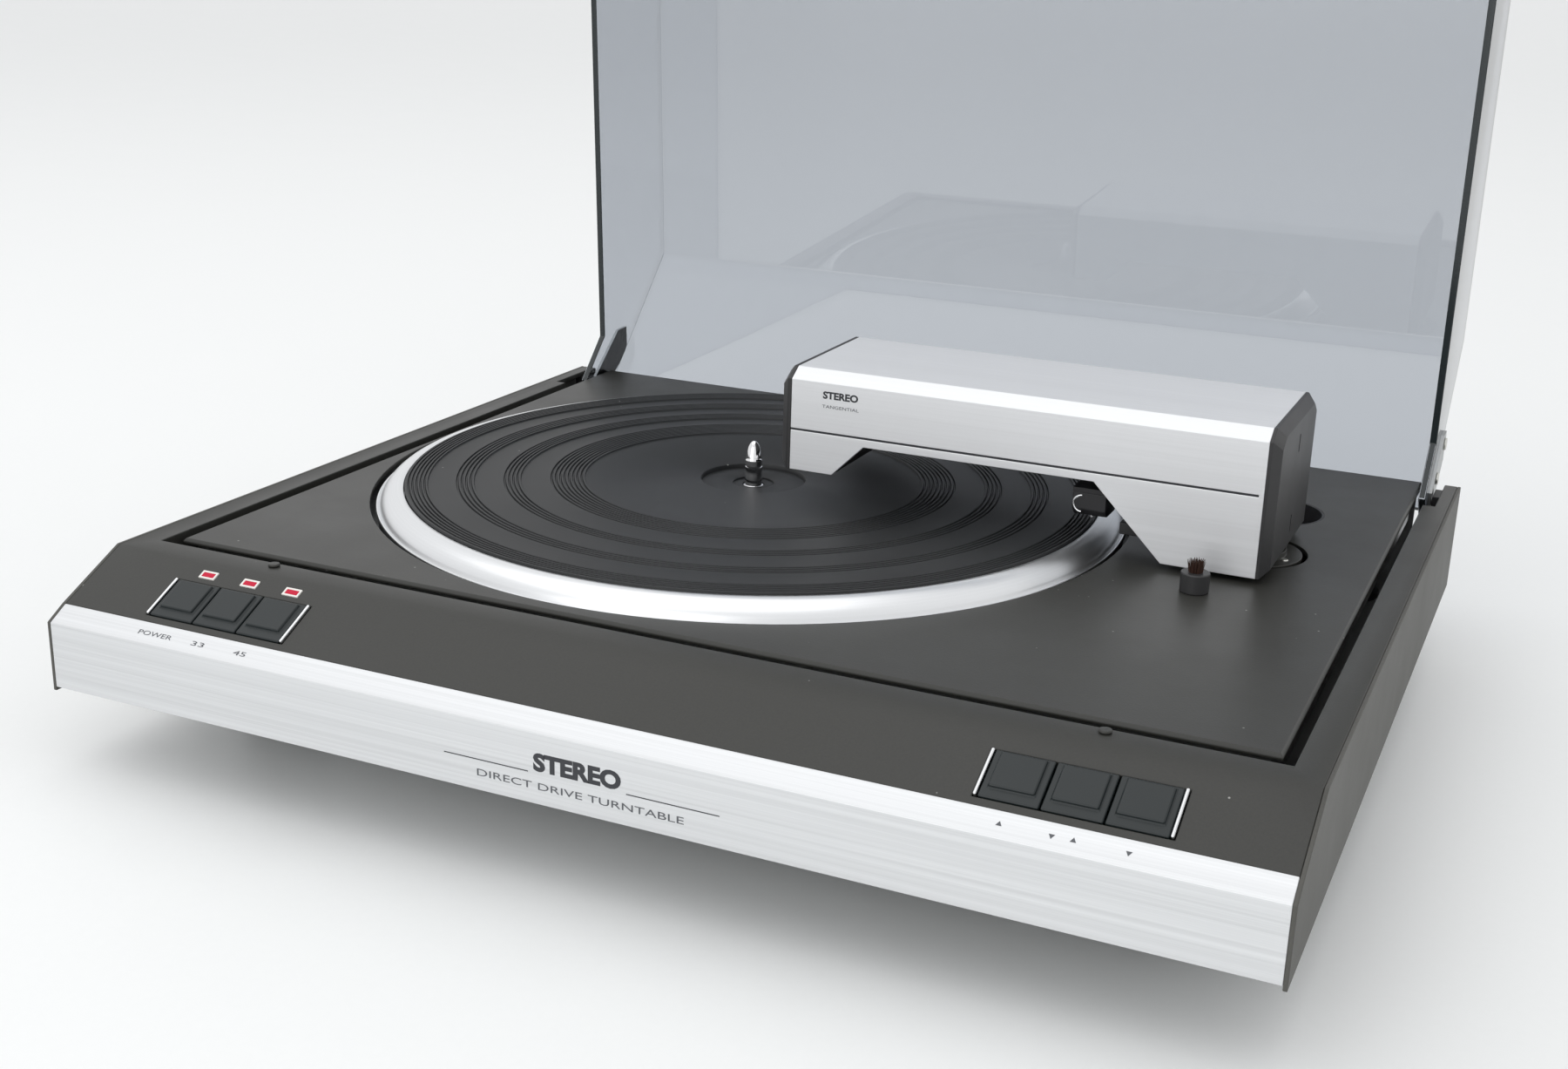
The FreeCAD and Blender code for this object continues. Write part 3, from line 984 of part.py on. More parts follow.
def build_electrics():
    """Mains transformer and the power board in the bottom of the case."""
    ring = cut(rod("toroid_radius", ("toroid_x", "toroid_y", "toroid_low"), "toroid_height"),
               rod("toroid_bore", ("toroid_x", "toroid_y", "toroid_low - overrun"),
                   "toroid_height + 2 * overrun"))
    finish(ring, "transformer")
    board = block(("board_x", "board_x + board_length"), ("board_y", "board_y + board_depth"),
                  ("board_z", "board_z + board_wall"))
    pieces = [board]
    for index in range(CAPACITORS):
        pieces.append(rod("capacitor_radius",
                          (f"board_x + board_length * {index + 1} / {CAPACITORS + 1}",
                           "board_y + board_depth / 2", "board_z"), "capacitor_height"))
    for across in ("standoff_radius", "board_length - standoff_radius"):
        for along in ("standoff_radius", "board_depth - standoff_radius"):
            pieces.append(rod("standoff_radius", (f"board_x + {across}", f"board_y + {along}",
                                                  PAN_TOP), f"board_z - {PAN_TOP}"))
    finish(fuse(*pieces), "power_board")


def check_and_export():
    """Stop on any failed object or bad shape, then write one file for each sub-part."""
    doc.recompute()
    for item in doc.Objects:
        if "Invalid" in item.State or "Error" in item.State:
            raise RuntimeError(f"{item.Label} ({item.Name}) failed: {item.State}")
    for piece in sub_parts:
        if piece.Shape.isNull() or not piece.Shape.isValid() or not piece.Shape.Solids:
            raise RuntimeError(f"{piece.Label} has a bad shape")
    os.makedirs("parts", exist_ok=True)
    for piece in sub_parts:
        piece.Shape.exportStep(f"parts/{piece.Label}.step")
        limits = piece.Shape.BoundBox
        print(f"{piece.Label:20s} solids {len(piece.Shape.Solids):2d}  x {limits.XMin:7.1f}"
              f" {limits.XMax:7.1f}  y {limits.YMin:7.1f} {limits.YMax:7.1f}"
              f"  z {limits.ZMin:6.1f} {limits.ZMax:6.1f}")


fill_sheet()
build_case()
build_keys()
build_floating_deck()
build_platter()
build_motor()
build_arm_housing()
build_carriage()
build_lid()
build_electrics()
check_and_export()
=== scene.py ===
"""Looks for a record player with a swinging tangential arm and a raised smoked lid.

Sizes are in millimetres from the deck's own corner (X from the middle, Y from the front face,
Z from the lower edge of the side panels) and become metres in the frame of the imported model.
"""

import json
import logging
import math
import random
from collections.abc import Callable
from dataclasses import dataclass, field
from enum import Enum

import bmesh
import bpy
from mathutils import Matrix, Vector

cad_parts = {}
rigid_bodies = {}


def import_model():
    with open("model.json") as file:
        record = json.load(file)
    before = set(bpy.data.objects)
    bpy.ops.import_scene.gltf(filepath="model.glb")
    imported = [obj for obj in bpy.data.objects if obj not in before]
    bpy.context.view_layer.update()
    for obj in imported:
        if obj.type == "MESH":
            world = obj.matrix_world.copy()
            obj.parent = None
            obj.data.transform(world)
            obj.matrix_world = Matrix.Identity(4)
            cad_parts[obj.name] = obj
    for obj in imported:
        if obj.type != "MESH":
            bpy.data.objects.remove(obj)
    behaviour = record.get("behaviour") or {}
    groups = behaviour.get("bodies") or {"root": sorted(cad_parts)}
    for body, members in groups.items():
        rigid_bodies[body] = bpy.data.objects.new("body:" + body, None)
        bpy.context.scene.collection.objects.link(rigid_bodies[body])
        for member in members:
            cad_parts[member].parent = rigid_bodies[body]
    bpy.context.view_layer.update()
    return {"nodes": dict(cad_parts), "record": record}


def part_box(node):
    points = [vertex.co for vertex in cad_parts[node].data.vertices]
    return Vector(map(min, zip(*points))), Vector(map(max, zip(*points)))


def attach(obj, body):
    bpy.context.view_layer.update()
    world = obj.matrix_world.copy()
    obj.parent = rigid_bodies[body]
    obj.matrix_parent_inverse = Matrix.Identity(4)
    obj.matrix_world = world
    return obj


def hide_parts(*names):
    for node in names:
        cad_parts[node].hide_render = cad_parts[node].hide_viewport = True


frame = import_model()
LOG = logging.getLogger("record_player")
MM = 0.001
BUMP_HEIGHT = 0.1 * MM
TAU = 2 * math.pi
Colour = tuple[float, float, float]
Point = tuple[float, float, float]
Profile = list[tuple[float, float]]


class Texture(Enum):
    """Ways in which a finish varies over its surface."""

    POWDER = "powder"
    BRUSHED = "brushed"
    TURNED = "turned"


class Along(Enum):
    """Direction of a brushed grain, as noise per metre on each axis."""

    X = (3.0, 900.0, 900.0)
    Y = (900.0, 3.0, 900.0)


class Graph:
    """A node tree filled one node at a time."""

    def __init__(self, tree: bpy.types.NodeTree) -> None:
        """Keep the tree."""
        self.tree = tree

    def add(self, kind: str, inputs: dict | None = None, **settings: object) -> bpy.types.Node:
        """Make a node, set its options, then set or link its inputs.

        Args:
            kind: Blender's name for the node type.
            inputs: Values or output sockets by input name or index.
            **settings: Options of the node itself.

        Returns:
            The node.
        """
        node = self.tree.nodes.new(kind)
        for name, value in settings.items():
            setattr(node, name, value)
        for name, value in (inputs or {}).items():
            self.plug(node, name, value)
        return node

    def plug(self, node: bpy.types.Node, name: str | int, value: object) -> None:
        """Link an output socket to a node's input, or set the input to a plain value."""
        if isinstance(value, bpy.types.NodeSocket):
            self.tree.links.new(value, node.inputs[name])
        else:
            node.inputs[name].default_value = value

    def maths(self, operation: str, *values: object) -> bpy.types.NodeSocket:
        """Result of a Math node."""
        return self.add("ShaderNodeMath", dict(enumerate(values)), operation=operation).outputs[0]

    def vary(self, noise: object, amount: object, base: object) -> bpy.types.NodeSocket:
        """A base value moved up and down as a noise leaves its middle."""
        return self.maths("MULTIPLY_ADD", self.maths("SUBTRACT", noise, 0.5), amount, base)

    def ramp(self, value: object, low: float, high: float, to_low: float,
             to_high: float) -> bpy.types.NodeSocket:
        """Result of a clamped Map Range node."""
        node = self.add("ShaderNodeMapRange", {0: value, 1: low, 2: high, 3: to_low, 4: to_high})
        return node.outputs[0]

    def shade(self, colour: object, factor: object) -> bpy.types.NodeSocket:
        """A colour scaled by a factor."""
        node = self.add("ShaderNodeVectorMath", {0: colour, "Scale": factor}, operation="SCALE")
        return node.outputs[0]

    def blend(self, factor: object, first: object, second: object) -> bpy.types.NodeSocket:
        """A mix of two colours."""
        node = self.add("ShaderNodeMix", data_type="RGBA")
        for index, value in ((0, factor), (6, first), (7, second)):
            self.plug(node, index, value)
        return node.outputs[2]

    def noise(self, scale: object, vector: object, detail: float = 3.0) -> bpy.types.NodeSocket:
        """Value of a Noise Texture."""
        node = self.add("ShaderNodeTexNoise", {"Scale": scale, "Vector": vector,
                                               "Detail": detail, "Roughness": 0.6})
        return node.outputs[0]


class EffectLibrary:
    """Node groups that several finishes share, each built once."""

    POWDER_PATCHES, POWDER_DRIFT, POWDER_GLOSS = 14.0, 0.6, 0.25
    BRUSH_BANDS, BRUSH_DRIFT, BRUSH_GLOSS = 0.12, 0.5, 0.3
    LATHE_PATCHES, LATHE_GLOSS = 9.0, 0.12
    SPECKS_PER_METRE, SPECK_EDGE = 130.0, (0.03, 0.06)
    CLUMPS_PER_METRE, CLUMP_EDGE = 60.0, (0.6, 0.62)
    DUST_COLOUR = (0.55, 0.55, 0.53, 1.0)

    def __init__(self) -> None:
        """Start with no groups."""
        self.groups: dict[str, bpy.types.NodeTree] = {}

    def group(self, name: str, inputs: dict[str, str], outputs: dict[str, str],
              fill: Callable) -> bpy.types.NodeTree:
        """Build a group once, or give the one that is there.

        Args:
            name: Name of the group.
            inputs: Socket types by input name.
            outputs: Socket types by output name.
            fill: Function that takes the Graph and the group's inputs and returns its outputs.

        Returns:
            The node group.
        """
        if name not in self.groups:
            tree = bpy.data.node_groups.new(name, "ShaderNodeTree")
            for side, sockets in (("INPUT", inputs), ("OUTPUT", outputs)):
                for socket, kind in sockets.items():
                    tree.interface.new_socket(socket, in_out=side, socket_type=kind)
            graph = Graph(tree)
            results = fill(graph, graph.add("NodeGroupInput").outputs)
            graph.add("NodeGroupOutput", results)
            self.groups[name] = tree
        return self.groups[name]

    def powder(self) -> bpy.types.NodeTree:
        """Fine speckled paint or moulded grain, with slow drift in tone."""
        def fill(graph: Graph, given: object) -> dict:
            fine = graph.noise(given["Grain"], given["Place"], 2.0)
            slow = graph.noise(self.POWDER_PATCHES, given["Place"], 4.0)
            tone = graph.vary(fine, given["Mottle"], 1.0)
            share = graph.maths("MULTIPLY", given["Mottle"], self.POWDER_DRIFT)
            drift = graph.vary(slow, share, tone)
            rough = graph.vary(slow, self.POWDER_GLOSS, given["Gloss"])
            return {"Colour": graph.shade(given["Colour"], drift), "Gloss": rough,
                    "Height": fine}
        return self.group("fine grain", {"Place": "NodeSocketVector", "Colour": "NodeSocketColor",
                                         "Grain": "NodeSocketFloat", "Mottle": "NodeSocketFloat",
                                         "Gloss": "NodeSocketFloat"}, self.outputs(), fill)

    def brushed(self) -> bpy.types.NodeTree:
        """Long fine scratches with soft bands of light and dark."""
        def fill(graph: Graph, given: object) -> dict:
            place = graph.add("ShaderNodeMapping", {"Vector": given["Place"],
                                                    "Scale": given["Stretch"]}).outputs[0]
            fine = graph.noise(1.0, place, 4.0)
            broad = graph.noise(self.BRUSH_BANDS, place, 3.0)
            streak = graph.vary(fine, given["Mottle"], 1.0)
            share = graph.maths("MULTIPLY", given["Mottle"], self.BRUSH_DRIFT)
            bands = graph.vary(broad, share, streak)
            rough = graph.vary(fine, self.BRUSH_GLOSS, given["Gloss"])
            return {"Colour": graph.shade(given["Colour"], bands), "Gloss": rough,
                    "Height": fine}
        return self.group("brushing", {"Place": "NodeSocketVector", "Colour": "NodeSocketColor",
                                       "Stretch": "NodeSocketVector",
                                       "Mottle": "NodeSocketFloat", "Gloss": "NodeSocketFloat"},
                          self.outputs(), fill)

    def turned(self) -> bpy.types.NodeTree:
        """Fine rings left by a lathe round an upright axis."""
        def fill(graph: Graph, given: object) -> dict:
            offset = graph.add("ShaderNodeVectorMath", {0: given["Place"], 1: given["Centre"]},
                               operation="SUBTRACT").outputs[0]
            flat = graph.add("ShaderNodeVectorMath", {0: offset, 1: (1.0, 1.0, 0.0)},
                             operation="MULTIPLY").outputs[0]
            radius = graph.add("ShaderNodeVectorMath", {0: flat}, operation="LENGTH").outputs[1]
            height = graph.add("ShaderNodeSeparateXYZ", {0: offset}).outputs[2]
            ring = graph.add("ShaderNodeCombineXYZ", {0: radius, 2: height}).outputs[0]
            fine = graph.noise(given["Grain"], ring, 3.0)
            slow = graph.noise(self.LATHE_PATCHES, given["Place"], 3.0)
            tone = graph.vary(fine, given["Mottle"], 1.0)
            rough = graph.vary(slow, self.LATHE_GLOSS, given["Gloss"])
            return {"Colour": graph.shade(given["Colour"], tone), "Gloss": rough,
                    "Height": fine}
        return self.group("turning rings", {"Place": "NodeSocketVector",
                                            "Centre": "NodeSocketVector",
                                            "Colour": "NodeSocketColor",
                                            "Grain": "NodeSocketFloat",
                                            "Mottle": "NodeSocketFloat",
                                            "Gloss": "NodeSocketFloat"}, self.outputs(), fill)

    def dust(self) -> bpy.types.NodeTree:
        """Sparse pale specks that have settled on a surface."""
        def fill(graph: Graph, given: object) -> dict:
            cells = graph.add("ShaderNodeTexVoronoi", {"Vector": given["Place"],
                                                       "Scale": self.SPECKS_PER_METRE},
                              feature="F1")
            speck = graph.ramp(cells.outputs["Distance"], *self.SPECK_EDGE, 1.0, 0.0)
            clumps = graph.noise(self.CLUMPS_PER_METRE, given["Place"], 1.0)
            chosen = graph.ramp(clumps, *self.CLUMP_EDGE, 0.0, 1.0)
            mask = graph.maths("MULTIPLY", graph.maths("MULTIPLY", speck, chosen),
                               given["Amount"])
            return {"Colour": graph.blend(mask, given["Colour"], self.DUST_COLOUR)}
        return self.group("settled dust", {"Place": "NodeSocketVector",
                                           "Colour": "NodeSocketColor",
                                           "Amount": "NodeSocketFloat"},
                          {"Colour": "NodeSocketColor"}, fill)

    @staticmethod
    def outputs() -> dict[str, str]:
        """Sockets that every surface effect puts out."""
        return {"Colour": "NodeSocketColor", "Gloss": "NodeSocketFloat",
                "Height": "NodeSocketFloat"}


EFFECTS = EffectLibrary()


def blank_material(slot: str) -> tuple[bpy.types.Material, Graph]:
    """A new material with an empty node tree, and the graph that fills it."""
    made = bpy.data.materials.new(slot)
    made.use_nodes = True
    made.node_tree.nodes.clear()
    return made, Graph(made.node_tree)


@dataclass(frozen=True)
class Finish:
    """An opaque finish: its tone, gloss and the way it varies."""

    slot: str
    colour: Colour
    gloss: float
    metal: float = 0.0
    texture: Texture = Texture.POWDER
    grain: float = 1500.0
    mottle: float = 0.25
    relief: float = 0.25
    along: Along = Along.X
    centre: Point = (0.0, 0.0, 0.0)
    dust: float = 0.0
    sheen: float = 0.5
    glow: float = 0.0

    def material(self) -> bpy.types.Material:
        """Build the material.

        Returns:
            The finished material, named for its slot.
        """
        made, graph = blank_material(self.slot)
        place = graph.add("ShaderNodeTexCoord").outputs["Object"]
        inputs = {"Place": place, "Colour": (*self.colour, 1.0), "Mottle": self.mottle,
                  "Gloss": self.gloss}
        if self.texture is Texture.BRUSHED:
            tree, extra = EFFECTS.brushed(), {"Stretch": self.along.value}
        elif self.texture is Texture.TURNED:
            tree, extra = EFFECTS.turned(), {"Grain": self.grain, "Centre": self.centre}
        else:
            tree, extra = EFFECTS.powder(), {"Grain": self.grain}
        effect = graph.add("ShaderNodeGroup", {**inputs, **extra}, node_tree=tree)
        colour = effect.outputs["Colour"]
        if self.dust:
            specks = graph.add("ShaderNodeGroup", {"Place": place, "Colour": colour,
                                                   "Amount": self.dust},
                               node_tree=EFFECTS.dust())
            colour = specks.outputs["Colour"]
        bump = graph.add("ShaderNodeBump", {"Height": effect.outputs["Height"],
                                            "Strength": self.relief,
                                            "Distance": BUMP_HEIGHT})
        shader = graph.add("ShaderNodeBsdfPrincipled", {
            "Base Color": colour, "Roughness": effect.outputs["Gloss"], "Metallic": self.metal,
            "Normal": bump.outputs[0], "Specular IOR Level": self.sheen})
        if self.glow:
            shader.inputs["Emission Color"].default_value = (*self.colour, 1.0)
            shader.inputs["Emission Strength"].default_value = self.glow
        graph.add("ShaderNodeOutputMaterial", {"Surface": shader.outputs[0]})
        made.diffuse_color = (*self.colour, 1.0)
        return made


@dataclass(frozen=True)
class SmokedSheet:
    """Tinted clear sheet with the faint haze of handling."""

    slot: str = "smoked_acrylic"
    tint: Colour = (0.49, 0.515, 0.555)
    haze: float = 0.02
    bend: float = 1.49

    def material(self) -> bpy.types.Material:
        """Build the material, which lets light reach what is behind it.

        Returns:
            The finished material.
        """
        made, graph = blank_material(self.slot)
        place = graph.add("ShaderNodeTexCoord").outputs["Object"]
        smear = graph.noise(22.0, place, 5.0)
        rough = graph.ramp(smear, 0.45, 0.75, 0.3 * self.haze, self.haze)
        shader = graph.add("ShaderNodeBsdfPrincipled", {
            "Base Color": (*self.tint, 1.0), "Roughness": rough, "Metallic": 0.0,
            "Transmission Weight": 1.0, "IOR": self.bend})
        through = graph.add("ShaderNodeBsdfTransparent", {"Color": (*self.tint, 1.0)})
        rays = graph.add("ShaderNodeLightPath")
        mixed = graph.add("ShaderNodeMixShader", {0: rays.outputs["Is Shadow Ray"],
                                                  1: shader.outputs[0], 2: through.outputs[0]})
        graph.add("ShaderNodeOutputMaterial", {"Surface": mixed.outputs[0]})
        made.diffuse_color = (*self.tint, 0.4)
        return made


class Deck:
    """Places in the model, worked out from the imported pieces."""

    def __init__(self) -> None:
        """Read the front face, the lower edge of the side panels and the platter's axis."""
        bar_low, bar_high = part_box("front_bar")
        panel_low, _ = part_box("side_panel_left")
        self.origin = Vector(((bar_low.x + bar_high.x) / 2, bar_low.y, panel_low.z))
        low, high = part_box("platter")
        self.axis = Vector(((low.x + high.x) / 2, (low.y + high.y) / 2, panel_low.z))

    def at(self, x: float, y: float, z: float) -> Vector:
        """A place on the deck, in metres in the model's frame."""
        return self.origin + Vector((x, y, z)) * MM

    def on_axis(self) -> Matrix:
        """Transform that puts millimetres round the platter's axis into the model."""
        return Matrix.Translation(self.axis) @ Matrix.Scale(MM, 4)


DECK = Deck()


class Wardrobe:
    """Every finish, made into a material the first time it is asked for."""

    def __init__(self) -> None:
        """List the finishes by slot."""
        axis = tuple(DECK.axis)
        listed = (
            Finish("case_paint", (0.070, 0.069, 0.061), 0.55, grain=1300, mottle=0.35),
            Finish("brushed_alu", (0.68, 0.69, 0.70), 0.40, 0.7, Texture.BRUSHED, mottle=0.42,
                   relief=0.18),
            Finish("shell_alu", (0.80, 0.81, 0.825), 0.45, 0.5, Texture.BRUSHED, mottle=0.14,
                   relief=0.15),
            Finish("deck_paint", (0.032, 0.032, 0.0285), 0.40, grain=1400, mottle=0.4,
                   relief=0.3, dust=0.6, sheen=0.4),
            Finish("pan_steel", (0.42, 0.43, 0.43), 0.42, 1.0, Texture.BRUSHED, mottle=0.15),
            Finish("socket_metal", (0.68, 0.65, 0.58), 0.28, 1.0, Texture.BRUSHED, mottle=0.1),
            Finish("black_plastic", (0.018, 0.018, 0.020), 0.5, grain=1800, mottle=0.3),
            Finish("foot_rubber", (0.022, 0.022, 0.022), 0.8, grain=1200, mottle=0.3),
            Finish("zinc", (0.62, 0.62, 0.58), 0.35, 1.0, mottle=0.15),
            Finish("bright_trim", (0.80, 0.81, 0.82), 0.24, 1.0, Texture.BRUSHED, mottle=0.08,
                   along=Along.Y, relief=0.08),
            Finish("circuit_board", (0.03, 0.13, 0.06), 0.45, mottle=0.2, grain=400),
            Finish("white_plastic", (0.80, 0.78, 0.74), 0.4, mottle=0.06),
            Finish("lamp_red", (0.50, 0.006, 0.035), 0.35, mottle=0.1, grain=900, glow=0.10,
                   sheen=0.2),
            Finish("dark_plastic", (0.026, 0.026, 0.027), 0.45, grain=1600, mottle=0.25),
            Finish("bristle", (0.05, 0.022, 0.014), 0.5, grain=700, mottle=0.8),
            Finish("black_paint", (0.012, 0.012, 0.013), 0.45, grain=1500, mottle=0.2),
            Finish("turned_alu", (0.83, 0.84, 0.85), 0.33, 1.0, Texture.TURNED, grain=1500,
                   mottle=0.12, relief=0.1, centre=axis),
            Finish("mat_rubber", (0.014, 0.015, 0.016), 0.5, texture=Texture.TURNED, grain=700,
                   mottle=0.25, relief=0.2, centre=axis, dust=0.5, sheen=0.4),
            Finish("chrome_steel", (0.82, 0.82, 0.83), 0.09, 1.0, Texture.TURNED, grain=1500,
                   mottle=0.05, relief=0.04, centre=axis),
            Finish("ferrite", (0.06, 0.06, 0.065), 0.5, mottle=0.3),
            Finish("bronze", (0.55, 0.36, 0.15), 0.35, 1.0, mottle=0.15),
            Finish("iron", (0.16, 0.16, 0.16), 0.5, 1.0, mottle=0.3),
            Finish("copper", (0.72, 0.30, 0.14), 0.3, 1.0, grain=900, mottle=0.4),
            Finish("belt_rubber", (0.015, 0.015, 0.015), 0.7, mottle=0.3),
            Finish("key_paint", (0.012, 0.0165, 0.0175), 0.34, grain=1500, mottle=0.15,
                   relief=0.12, sheen=0.4),
            Finish("sheet_edge", (0.010, 0.016, 0.018), 0.16, grain=500, mottle=0.4,
                   relief=0.05),
            # Dark print colour, also used as painted shade on the faces inside the arm's seam
            # groove.
            Finish("print_dark", (0.028, 0.030, 0.036), 0.5, grain=1500, mottle=0.2),
            Finish("print_grey", (0.09, 0.095, 0.105), 0.5, grain=1500, mottle=0.2),
        )
        self.listed = {finish.slot: finish for finish in listed}
        self.listed["smoked_acrylic"] = SmokedSheet()
        self.made: dict[str, bpy.types.Material] = {}

    def get(self, slot: str) -> bpy.types.Material:
        """The material for a finish."""
        if slot not in self.made:
            self.made[slot] = self.listed[slot].material()
        return self.made[slot]

    def dress_nodes(self) -> dict[str, str]:
        """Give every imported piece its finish.

        Returns:
            The slot of each node.
        """
        slots = {}
        for entry in frame["record"]["subparts"]:
            node, slot = entry["node"], entry["material_slot"]
            slots[node] = slot
            for place in frame["nodes"][node].material_slots:
                place.material = self.get(slot)
        return slots


WARDROBE = Wardrobe()
SLOTS = WARDROBE.dress_nodes()


class Shop:
    """Ways of making a piece."""

    WELD = 0.002
    FINE_WELD = 0.0005
    FLAT_ANGLE = 0.6

    @staticmethod
    def piece(name: str, body: str, slot: str, shape: bmesh.types.BMesh,
              transform: Matrix | None = None, replaces: str = "", finish: str = "",
              crease: float = 35.0) -> bpy.types.Object:
        """Turn a bmesh into a named piece that rides on a body.

        Args:
            name: Name of the piece.
            body: Body that it moves with.
            slot: Material slot that it stands under.
            shape: The geometry, which is freed.
            transform: Where the geometry goes in the model.
            replaces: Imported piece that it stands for.
            finish: Finish to use where it isn't the slot's own.
            crease: Angle in degrees past which an edge shades sharp.

        Returns:
            The object.
        """
        if transform is not None:
            bmesh.ops.transform(shape, matrix=transform, verts=shape.verts)
        mesh = bpy.data.meshes.new(name)
        shape.to_mesh(mesh)
        shape.free()
        made = bpy.data.objects.new(name, mesh)
        bpy.context.scene.collection.objects.link(made)
        mesh.materials.append(WARDROBE.get(finish or slot))
        mesh.polygons.foreach_set("use_smooth", [True] * len(mesh.polygons))
        mesh.set_sharp_from_angle(angle=math.radians(crease))
        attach(made, body)
        if replaces:
            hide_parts(replaces)
        return made

    @staticmethod
    def body_of(node: str) -> str:
        """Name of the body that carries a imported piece."""
        bodies = frame["record"]["behaviour"]["bodies"]
        return next(body for body, members in bodies.items() if node in members)

    @staticmethod
    def merged(node: str) -> bmesh.types.BMesh:
        """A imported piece's surface with its doubles merged and its flat faces joined."""
        shape = bmesh.new()
        shape.from_mesh(frame["nodes"][node].data)
        bmesh.ops.remove_doubles(shape, verts=shape.verts, dist=Shop.WELD * MM)
        bmesh.ops.dissolve_limit(shape, angle_limit=math.radians(Shop.FLAT_ANGLE),
                                 verts=shape.verts, edges=shape.edges,
                                 use_dissolve_boundaries=False)
        return shape

    @classmethod
    def softened(cls, node: str, width: float, segments: int = 2, corner: float = 28.0,
                 finish: str = "") -> bpy.types.Object:
        """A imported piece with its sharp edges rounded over.

        Args:
            node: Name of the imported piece.
            width: Width of the rounding in millimetres.
            segments: Steps in each rounding.
            corner: Smallest angle in degrees between faces that is rounded.
            finish: Finish to use where it isn't the slot's own.

        Returns:
            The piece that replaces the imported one.
        """
        shape = cls.merged(node)
        sharp = [edge for edge in shape.edges if len(edge.link_faces) == 2
                 and edge.calc_face_angle(0.0) > math.radians(corner)]
        bmesh.ops.bevel(shape, geom=sharp, offset=width * MM, offset_type="OFFSET",
                        affect="EDGES", segments=segments, profile=0.5, material=-1,
                        clamp_overlap=True)
        made = cls.piece(f"{node}_finished", cls.body_of(node), SLOTS[node], shape,
                         replaces=node, finish=finish)
        weights = made.modifiers.new("Even shading", "WEIGHTED_NORMAL")
        weights.keep_sharp = True
        return made

    @staticmethod
    def spun(profile: Profile, steps: int, closed: bool = True) -> bmesh.types.BMesh:
        """A shape turned about Z from radius and height pairs.

        Args:
            profile: Radius and height of each corner, in order.
            steps: Steps in the full turn.
            closed: Whether the last corner joins the first.

        Returns:
            The turned surface, its poles merged and its faces outwards.
        """
        shape = bmesh.new()
        corners = [shape.verts.new((radius, 0.0, height)) for radius, height in profile]
        pairs = list(zip(corners, corners[1:]))
        if closed:
            pairs.append((corners[-1], corners[0]))
        edges = [shape.edges.new(pair) for pair in pairs]
        bmesh.ops.spin(shape, geom=corners + edges, cent=(0, 0, 0), axis=(0, 0, 1), angle=TAU,
                       steps=steps, use_merge=True)
        bmesh.ops.remove_doubles(shape, verts=shape.verts, dist=Shop.FINE_WELD)
        bmesh.ops.recalc_face_normals(shape, faces=shape.faces)
        return shape


